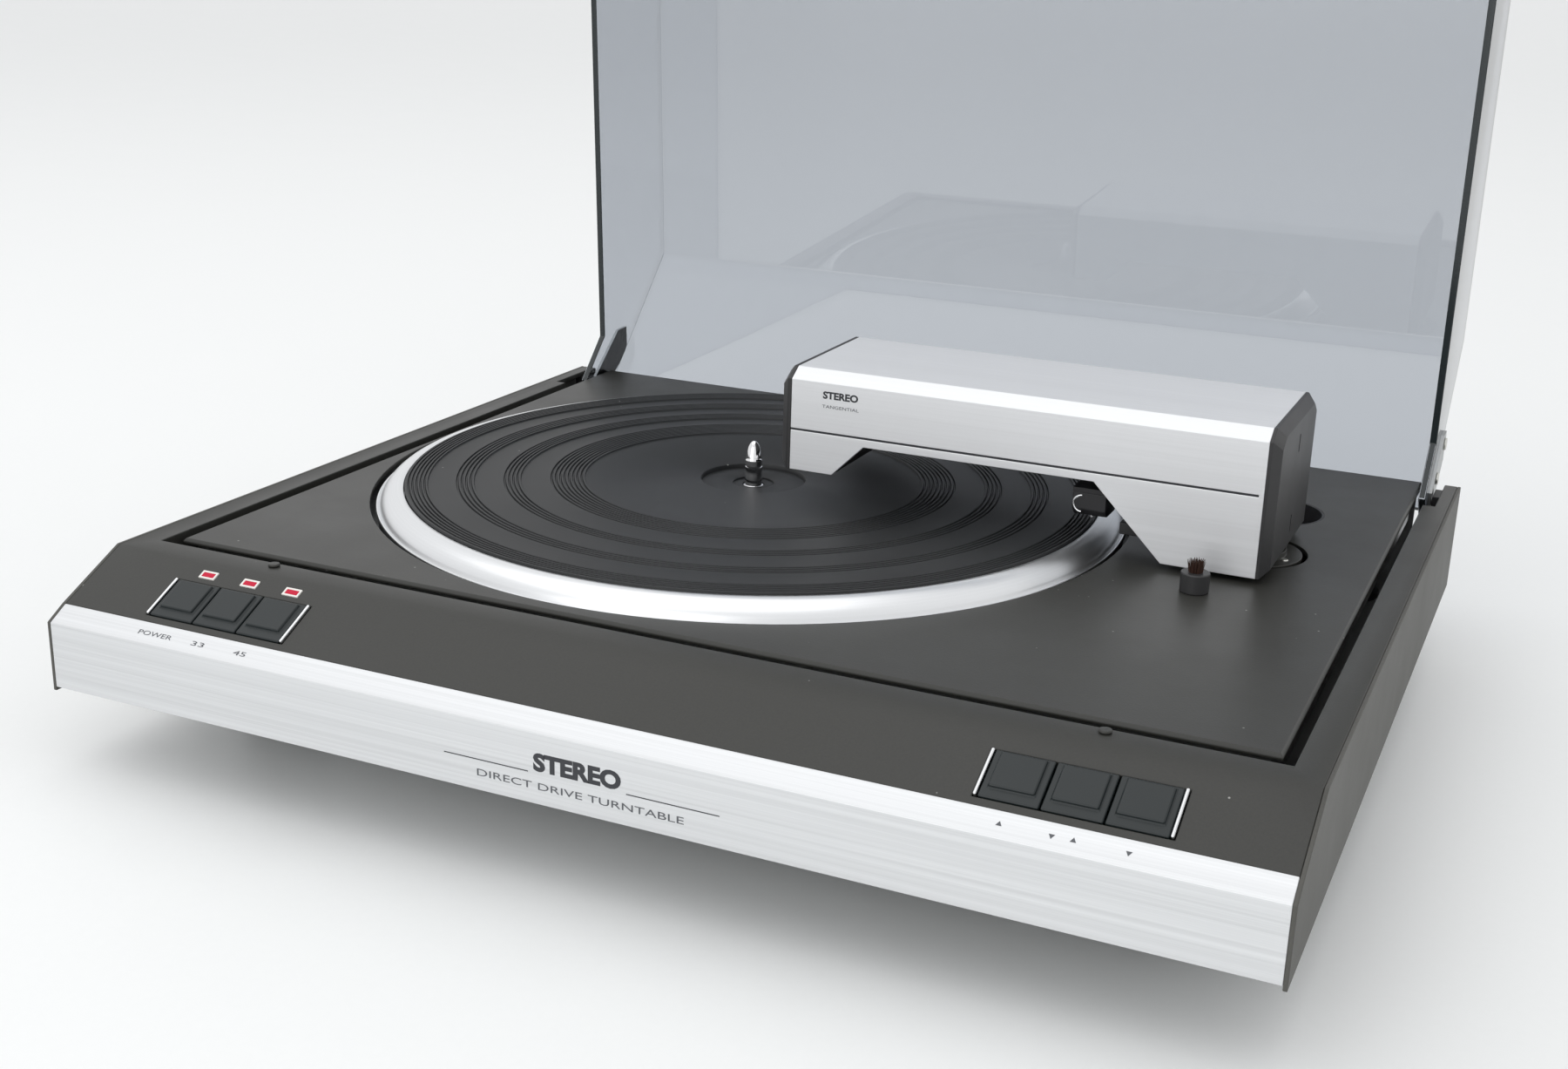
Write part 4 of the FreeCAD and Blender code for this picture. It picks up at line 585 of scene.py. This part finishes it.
@dataclass
class Turntable:
    """Platter, ribbed mat and spindle, as radii and heights in millimetres."""

    steps: int = 192
    spindle_steps: int = 64
    rim: Profile = field(default_factory=lambda: [
        (156.5, 37.2), (156.5, 42.4), (157.2, 42.5), (157.4, 42.8), (157.4, 44.3), (157.2, 44.6),
        (156.8, 44.6), (156.5, 44.3), (156.2, 43.9), (155.8, 44.3), (155.4, 45.6), (154.8, 46.9),
        (153.7, 48.3), (152.1, 49.7), (150.2, 50.8),
        (148.0, 51.4), (146.4, 51.4), (146.1, 51.2), (146.0, 47.6), (4.2, 47.6), (4.2, 33.5),
        (14.0, 33.5), (14.0, 43.6), (141.4, 43.6), (141.4, 37.2)])
    spindle: Profile = field(default_factory=lambda: [
        (0.0, 13.5), (4.0, 13.5), (4.2, 13.8), (4.2, 48.4), (4.0, 48.55), (3.6, 48.6),
        (3.6, 56.4), (3.3, 56.6), (3.3, 57.0), (3.6, 57.1), (3.6, 59.3), (3.45, 59.5),
        (3.35, 60.5), (3.15, 62.0), (2.85, 63.5), (2.4, 65.0), (1.8, 66.2), (1.1, 67.1),
        (0.5, 67.5), (0.0, 67.6)])
    bands: tuple = ((135.5, 145.2, 6), (116.4, 125.5, 5), (97.2, 105.9, 5), (70.4, 86.5, 9))
    mat_edge: float = 145.6
    mat_seat: float = 47.6
    mat_top: float = 51.3
    rib: float = 0.8
    rib_outline: tuple = ((0.05, 0), (0.45, 0), (0.62, 1), (0.88, 1))
    step: float = 0.05
    ease: float = 0.3
    nick: float = 0.2
    label: float = 22.2
    label_floor: float = 49.4
    centre: float = 8.7
    centre_floor: float = 48.6
    bore: float = 4.6

    def build(self) -> None:
        """Make the three pieces."""
        Shop.piece("platter_turned", "platter", "turned_alu", Shop.spun(self.rim, self.steps),
                   DECK.on_axis(), "platter")
        Shop.piece("mat_ribbed", "platter", "mat_rubber", Shop.spun(self.mat(), self.steps),
                   DECK.on_axis(), "platter_mat", crease=50)
        Shop.piece("spindle_polished", "platter", "chrome_steel",
                   Shop.spun(self.spindle, self.spindle_steps, closed=False), DECK.on_axis(),
                   "spindle_shaft")

    def mat(self) -> Profile:
        """Cross-section of the mat from its outer edge inwards."""
        crest, ease, nick = self.mat_top + self.rib, self.ease, self.nick
        corners = [(self.mat_edge - nick, self.mat_seat), (self.mat_edge, self.mat_seat + ease),
                   (self.mat_edge, crest - ease), (self.mat_edge - ease, crest)]
        for low, high, count in self.bands:
            pitch = (high - low) / count
            heights = (crest - self.step, self.mat_top + self.step)
            for index in range(count):
                start = high - index * pitch
                corners += [(start - share * pitch, heights[side])
                            for share, side in self.rib_outline]
            corners.append((low, self.mat_top))
        corners += [(self.label + ease, self.mat_top), (self.label, self.mat_top - ease),
                    (self.label - nick, self.label_floor),
                    (self.centre + nick, self.label_floor),
                    (self.centre, self.label_floor - nick), (self.centre, self.centre_floor),
                    (self.bore, self.centre_floor), (self.bore, self.mat_seat)]
        return corners


@dataclass
class Casework:
    """Side panels, front bar, fascia, rear panel, feet and the small fixed trim."""

    soft: tuple = (("side_panel_left", 0.3), ("side_panel_right", 0.3), ("front_bar", 0.35),
                   ("deck_frame", 0.45), ("rear_panel", 0.3), ("feet", 1.2),
                   ("phono_sockets", 0.25), ("mains_inlet", 0.4),
                   ("hinge_blocks", 0.4), ("bottom_pan", 0.25), ("foot_screws", 0.3))

    def build(self) -> None:
        """Round over every piece of the case."""
        for node, width in self.soft:
            Shop.softened(node, width)
        Shop.softened("lid_buffers", 0.5, finish="deck_paint")


@dataclass
class Controls:
    """Two rows of keys with their end bars, and three lamps."""

    key_edge: float = 0.6
    bar_edge: float = 0.55
    frame_edge: float = 0.15
    lens_edge: float = 0.3

    def build(self) -> None:
        """Make the keys, bars, lamp frames and lenses."""
        for node in SLOTS:
            if node.startswith("key_") and node not in ("key_bars", "key_board"):
                Shop.softened(node, self.key_edge, 3)
        Shop.softened("key_bars", self.bar_edge, 3)
        Shop.softened("lamp_frames", self.frame_edge)
        Shop.softened("lamp_lenses", self.lens_edge, 3)


@dataclass
class FloatingDeck:
    """Top plate, adapter well and the stylus brush."""

    soft: tuple = (("top_plate", 0.3, 2), ("adapter_well", 0.25, 2), ("brush_cup", 0.5, 3))
    brush_x: float = 151.0
    brush_y: float = 187.0
    brush_foot: float = 49.5
    brush_top: float = 58.4
    fibres: int = 190
    fibre: float = 0.16
    taper: float = 0.4
    foot_spread: float = 1.9
    tip_spread: float = 3.3
    twist: float = 0.3
    shortest: float = 0.84
    seed: int = 7

    def build(self) -> None:
        """Make the deck's visible pieces."""
        for node, width, segments in self.soft:
            Shop.softened(node, width, segments)
        self.build_bristles()

    def build_bristles(self) -> None:
        """A flared bundle of tapered fibres of uneven length."""
        draw = random.Random(self.seed)
        shape = bmesh.new()
        for _ in range(self.fibres):
            turn, reach = draw.uniform(0, TAU), math.sqrt(draw.random())
            foot = Vector((math.cos(turn), math.sin(turn), 0)) * reach * self.foot_spread
            along = math.cos(turn + draw.uniform(-self.twist, self.twist))
            aside = math.sin(turn + draw.uniform(-self.twist, self.twist))
            tip = Vector((along, aside, 0)) * reach * self.tip_spread
            tip.z = (self.brush_top - self.brush_foot) * draw.uniform(self.shortest, 1.0)
            lean = tip - foot
            cone = bmesh.ops.create_cone(shape, cap_ends=True, segments=5, radius1=self.fibre,
                                         radius2=self.taper * self.fibre, depth=lean.length)
            turned = lean.to_track_quat("Z", "Y").to_matrix().to_4x4()
            place = Matrix.Translation((foot + tip) / 2) @ turned
            bmesh.ops.transform(shape, matrix=place, verts=cone["verts"])
        origin = DECK.at(self.brush_x, self.brush_y, self.brush_foot)
        Shop.piece("brush_fibres", "floating_deck", "bristle", shape,
                   Matrix.Translation(origin) @ Matrix.Scale(MM, 4), "brush_bristles")


@dataclass
class ArmHousing:
    """The swinging housing with its end plates, turning base and sensor."""

    soft: tuple = (("arm_end_left", 0.35), ("arm_end_right", 0.35), ("arm_turning_base", 0.3),
                   ("edge_sensor", 0.4), ("arm_frame", 0.2), ("carriage_motor", 0.4))
    seam_z: float = 80.1
    seam_width: float = 0.8
    seam_depth: float = 0.7
    seam_share: float = 0.52
    seam_margin: float = 1.2
    screw: Point = (174.0, 240.6, 45.9)
    screw_radius: float = 1.7
    screw_taper: float = 0.8
    screw_height: float = 0.6

    def build(self) -> None:
        """Round over the housing's pieces, paint shade into the seam groove with the dark print
        colour and add the disc's screw.
        """
        shell = Shop.softened("arm_shell", 0.3, finish="shell_alu")
        # Painted shade: the faces inside the seam groove are coloured dark instead of catching
        # their own shade.
        self.paint_seam_shade(shell)
        for node, width in self.soft:
            Shop.softened(node, width)
        head = bmesh.new()
        bmesh.ops.create_cone(head, cap_ends=True, segments=32, radius1=self.screw_radius,
                              radius2=self.screw_taper * self.screw_radius,
                              depth=self.screw_height)
        Shop.piece("disc_screw", "arm", SLOTS["arm_turning_base"], head,
                   Matrix.Translation(DECK.at(*self.screw)) @ Matrix.Scale(MM, 4),
                   finish="zinc")

    def paint_seam_shade(self, shell: bpy.types.Object) -> None:
        """Paint shade into the shell's seam groove: its faces take the dark print colour."""
        shell.data.materials.append(WARDROBE.get("print_dark"))
        front = min(vert.co.y for vert in shell.data.vertices)
        level = DECK.at(0, 0, self.seam_z).z
        reach = self.seam_share * self.seam_width * MM
        back = front + self.seam_margin * self.seam_depth * MM
        # Faces in the narrow groove get the dark colour as painted shade.
        for face in shell.data.polygons:
            corners = [shell.data.vertices[index].co for index in face.vertices]
            if all(abs(corner.z - level) < reach and corner.y < back for corner in corners):
                face.material_index = 1


@dataclass
class Pickup:
    """Carriage, short arm and cartridge."""

    soft: tuple = (("arm_carriage", 0.3), ("cartridge", 0.5))
    clip_place: Point = (99.6, 211.5, 65.2)
    clip_radius: float = 3.3
    clip_wire: float = 0.5
    clip_sides: int = 12
    clip_steps: int = 24

    def build(self) -> None:
        """Round over the pickup's pieces and add the cartridge's bright clip."""
        for node, width in self.soft:
            Shop.softened(node, width)
        Shop.softened("pickup_arm", 0.3, finish="black_plastic")
        clip = bmesh.new()
        section = bmesh.ops.create_circle(clip, cap_ends=True, segments=self.clip_sides,
                                          radius=self.clip_wire)["verts"]
        faces = list(clip.faces)
        bmesh.ops.translate(clip, vec=(self.clip_radius, 0, 0), verts=section)
        bmesh.ops.spin(clip, geom=section + list(clip.edges) + faces, cent=(0, 0, 0),
                       axis=(0, 1, 0), angle=-TAU / 2, steps=self.clip_steps)
        bmesh.ops.recalc_face_normals(clip, faces=clip.faces)
        turn = Matrix.Rotation(-TAU / 4, 4, "Y")
        Shop.piece("cartridge_clip", "pickup", SLOTS["cartridge"], clip,
                   Matrix.Translation(DECK.at(*self.clip_place)) @ turn @ Matrix.Scale(MM, 4),
                   finish="bright_trim")


@dataclass
class ClearLid:
    """Smoked lid with dark cut edges, and its hinge fittings."""

    soft: tuple = (("hinge_brackets", 0.25, 2), ("lid_screws", 0.35, 3), ("hinge_pins", 0.3, 2))
    cut_edge: tuple[float, float] = (1.2, 3.6)
    edge_round: float = 0.4
    edge_margin: float = 1.2

    def build(self) -> None:
        """Make the lid and round over its fittings."""
        self.darken_edges(Shop.softened("lid", self.edge_round))
        for node, width, segments in self.soft:
            Shop.softened(node, width, segments)

    def darken_edges(self, lid: bpy.types.Object) -> None:
        """Give the sheet's cut edges, and the rounding along its open rim, a dark finish."""
        lid.data.materials.append(WARDROBE.get("sheet_edge"))
        narrow, wide = (width * MM for width in self.cut_edge)
        cut = [face for face in lid.data.polygons if narrow < self.width(lid, face) < wide]
        rim = max(cut, key=lambda face: face.area)
        for face in lid.data.polygons:
            heights = [abs((lid.data.vertices[index].co - rim.center).dot(rim.normal))
                       for index in face.vertices]
            if max(heights) < self.edge_margin * self.edge_round * MM or face in cut:
                face.material_index = 1

    @staticmethod
    def width(lid: bpy.types.Object, face: bpy.types.MeshPolygon) -> float:
        """Mean width of a long thin face."""
        corners = [lid.data.vertices[index].co for index in face.vertices]
        around = sum((corners[index - 1] - corners[index]).length
                     for index in range(len(corners)))
        return 2 * face.area / max(around, MM)


@dataclass(frozen=True)
class Mark:
    """A printed word: its text, its middle on the deck, its size and what it is printed on."""

    name: str
    text: str
    middle: Point
    size: tuple[float, float]
    finish: str = "print_grey"
    body: str = "chassis"
    bold: float = 0.0
    on_lip: bool = False


@dataclass
class Lettering:
    """Plain words, numbers and arrows printed on the player."""

    thickness: float = 0.04
    lip_slope: Point = (0.0, 8.1, 4.9)
    lip_row: tuple[float, float] = (4.05, 29.25)
    line_z: float = 12.7
    line_width: float = 0.35
    arrow_radius: float = 1.1
    bar_marks: tuple = (
        Mark("mark_power", "POWER", (-177.75, *lip_row), (14.9, 1.9), on_lip=True),
        Mark("mark_33", "33", (-158.55, *lip_row), (5.5, 1.9), on_lip=True),
        Mark("mark_45", "45", (-140.05, *lip_row), (5.3, 1.9), on_lip=True),
        Mark("mark_name", "STEREO", (-1.95, 0.0, 16.6), (32.5, 6.6), "print_dark", bold=0.05),
        Mark("mark_type", "DIRECT DRIVE TURNTABLE", (-1.5, 0.0, 8.1), (76.8, 2.5)))
    arm_marks: tuple = (
        Mark("mark_arm_name", "STEREO", (-0.7, 205.1, 96.0), (15.3, 3.1), "print_dark", "arm",
             bold=0.04),
        Mark("mark_arm_type", "TANGENTIAL", (-0.6, 205.1, 91.3), (15.9, 1.3), body="arm"))
    lines: tuple = (("mark_line_left", -52.7, -20.2), ("mark_line_right", 16.2, 49.3))
    arrows: tuple = (("mark_return", 138.0, 1), ("mark_lower", 153.9, 3),
                     ("mark_raise", 160.4, 1), ("mark_start", 176.7, 3))

    def build(self) -> None:
        """Place every mark."""
        upright, lip = Vector((0, 0, 1)), Vector(self.lip_slope).normalized()
        for mark in self.bar_marks:
            self.word(mark, lip if mark.on_lip else upright)
        for name, left, right in self.lines:
            self.line(name, left, right, upright)
        for mark in self.arm_marks:
            self.word(mark, upright)
        for name, x, quarter_turns in self.arrows:
            self.arrow(name, (x, *self.lip_row), quarter_turns, lip)

    def basis(self, place: Point, up: Vector) -> Matrix:
        """Transform from flat millimetres to a face that looks towards the front."""
        right = Vector((1, 0, 0))
        out = right.cross(up)
        origin = DECK.at(*place) + out * self.thickness * MM * 0.5
        turn = Matrix((right, up, out)).transposed().to_4x4()
        return Matrix.Translation(origin) @ turn @ Matrix.Scale(MM, 4)

    def word(self, mark: Mark, up: Vector) -> None:
        """Print a word, fitted to its width and height.

        Args:
            mark: The word and where it goes.
            up: Direction of the top of the letters.
        """
        curve = bpy.data.curves.new(mark.name, "FONT")
        curve.body = mark.text
        curve.align_x = "CENTER"
        curve.resolution_u = 4
        curve.offset = mark.bold
        lettered = bpy.data.objects.new(mark.name, curve)
        mesh = bpy.data.meshes.new_from_object(lettered)
        bpy.data.objects.remove(lettered)
        shape = bmesh.new()
        shape.from_mesh(mesh)
        bpy.data.meshes.remove(mesh)
        low = Vector([min(vert.co[axis] for vert in shape.verts) for axis in range(3)])
        high = Vector([max(vert.co[axis] for vert in shape.verts) for axis in range(3)])
        bmesh.ops.translate(shape, vec=-(low + high) / 2, verts=shape.verts)
        width, height = mark.size
        bmesh.ops.scale(shape, vec=(width / (high.x - low.x), height / (high.y - low.y), 1),
                        verts=shape.verts)
        self.ink(mark.name, shape, mark.middle, up, mark.finish, mark.body)

    def ink(self, name: str, shape: bmesh.types.BMesh, place: Point, up: Vector, finish: str,
            body: str) -> None:
        """Give a flat shape the thickness of print and set it on its face."""
        bmesh.ops.remove_doubles(shape, verts=shape.verts, dist=Shop.FINE_WELD)
        top = bmesh.ops.extrude_face_region(shape, geom=list(shape.faces))["geom"]
        raised = [item for item in top if isinstance(item, bmesh.types.BMVert)]
        bmesh.ops.translate(shape, vec=(0, 0, self.thickness), verts=raised)
        bmesh.ops.recalc_face_normals(shape, faces=shape.faces)
        Shop.piece(name, body, "dark_plastic", shape, self.basis(place, up), finish=finish)

    def line(self, name: str, left: float, right: float, up: Vector) -> None:
        """A thin printed line on the front bar."""
        shape = bmesh.new()
        bmesh.ops.create_grid(shape, x_segments=1, y_segments=1, size=0.5)
        bmesh.ops.scale(shape, vec=(right - left, self.line_width, 1), verts=shape.verts)
        self.ink(name, shape, ((left + right) / 2, 0.0, self.line_z), up, "print_dark",
                 "chassis")

    def arrow(self, name: str, place: Point, quarter_turns: int, up: Vector) -> None:
        """A small triangle that points a number of quarter turns from the right."""
        shape = bmesh.new()
        bmesh.ops.create_circle(shape, cap_ends=True, segments=3, radius=self.arrow_radius)
        turn = Matrix.Rotation(math.pi / 2 * quarter_turns, 4, "Z") \
            @ Matrix.Rotation(-math.pi / 2, 4, "Z")
        bmesh.ops.transform(shape, matrix=turn, verts=shape.verts)
        self.ink(name, shape, place, up, "print_grey", "chassis")


@dataclass(frozen=True)
class Softbox:
    """A square soft light: its place and target in metres, its size and its power."""

    name: str
    place: Point
    target: Point
    size: float
    power: float


@dataclass
class Studio:
    """Pale table, soft lights and the camera."""

    camera_place: Point = (283.61, -477.96, 279.56)
    azimuth: float = 24.23
    elevation: float = 18.13
    roll: float = 1.66
    lens: float = 43.53
    sensor: float = 36.0
    nearest: float = 0.01
    table: float = 14.0
    sky: float = 0.90
    softboxes: tuple = (Softbox("overhead", (-0.5, -0.3, 2.2), (0.0, 0.05, 0.05), 2.6, 14.0),
                        Softbox("front", (-0.3, -2.3, 0.6), (0.0, 0.0, 0.05), 1.8, 12.0))

    def build(self) -> None:
        """Make the table, lights, world and camera."""
        self.build_table()
        self.build_world()
        for softbox in self.softboxes:
            self.light(softbox)
        self.build_camera()

    def build_table(self) -> None:
        """A large pale table top, smooth with a faint drift in tone."""
        shape = bmesh.new()
        bmesh.ops.create_grid(shape, x_segments=4, y_segments=4, size=self.table)
        mesh = bpy.data.meshes.new("table")
        shape.to_mesh(mesh)
        shape.free()
        table = bpy.data.objects.new("table", mesh)
        bpy.context.scene.collection.objects.link(table)
        mesh.materials.append(Finish("table", (0.87, 0.88, 0.875), 0.42, grain=300, mottle=0.02,
                                     relief=0.02).material())

    def build_world(self) -> None:
        """Even cool-white light from all round."""
        world = bpy.data.worlds.new("studio")
        bpy.context.scene.world = world
        world.use_nodes = True
        world.node_tree.nodes.clear()
        graph = Graph(world.node_tree)
        sky = graph.add("ShaderNodeBackground", {"Color": (0.985, 0.99, 1.0, 1.0),
                                                 "Strength": self.sky})
        graph.add("ShaderNodeOutputWorld", {"Surface": sky.outputs[0]})

    @staticmethod
    def light(softbox: Softbox) -> None:
        """A square soft light that faces a point."""
        lamp = bpy.data.lights.new(softbox.name, "AREA")
        lamp.shape = "SQUARE"
        lamp.size = softbox.size
        lamp.energy = softbox.power
        made = bpy.data.objects.new(softbox.name, lamp)
        made.location = softbox.place
        aim = Vector(softbox.target) - Vector(softbox.place)
        made.rotation_euler = aim.to_track_quat("-Z", "Y").to_euler()
        bpy.context.scene.collection.objects.link(made)

    def build_camera(self) -> None:
        """The camera, aimed by its bearing, height and tilt in degrees."""
        around, above, tilt = (math.radians(angle) for angle in
                               (self.azimuth, self.elevation, self.roll))
        back = Vector((math.sin(around) * math.cos(above), -math.cos(around) * math.cos(above),
                       math.sin(above)))
        right = (-back).cross(Vector((0, 0, 1))).normalized()
        up = right.cross(-back)
        across = math.cos(tilt) * right + math.sin(tilt) * up
        upright = -math.sin(tilt) * right + math.cos(tilt) * up
        lens = bpy.data.cameras.new("camera")
        lens.lens = self.lens
        lens.sensor_width = self.sensor
        lens.clip_start = self.nearest
        camera = bpy.data.objects.new("camera", lens)
        turn = Matrix((across, upright, back)).transposed().to_4x4()
        camera.matrix_world = Matrix.Translation(DECK.at(*self.camera_place)) @ turn
        bpy.context.scene.collection.objects.link(camera)
        bpy.context.scene.camera = camera


def main() -> None:
    """Build the studio and every sub-assembly, and log each piece made."""
    logging.basicConfig(level=logging.INFO, format="%(name)s: %(message)s")
    bpy.context.scene.view_settings.view_transform = "Standard"
    for assembly in (Studio(), Casework(), Controls(), FloatingDeck(), Turntable(),
                     ArmHousing(), Pickup(), ClearLid(), Lettering()):
        before = set(bpy.data.objects)
        assembly.build()
        for made in sorted(set(bpy.data.objects) - before, key=lambda item: item.name):
            LOG.info("%s: %s", type(assembly).__name__, made.name)


if __name__ == "__main__":
    main()
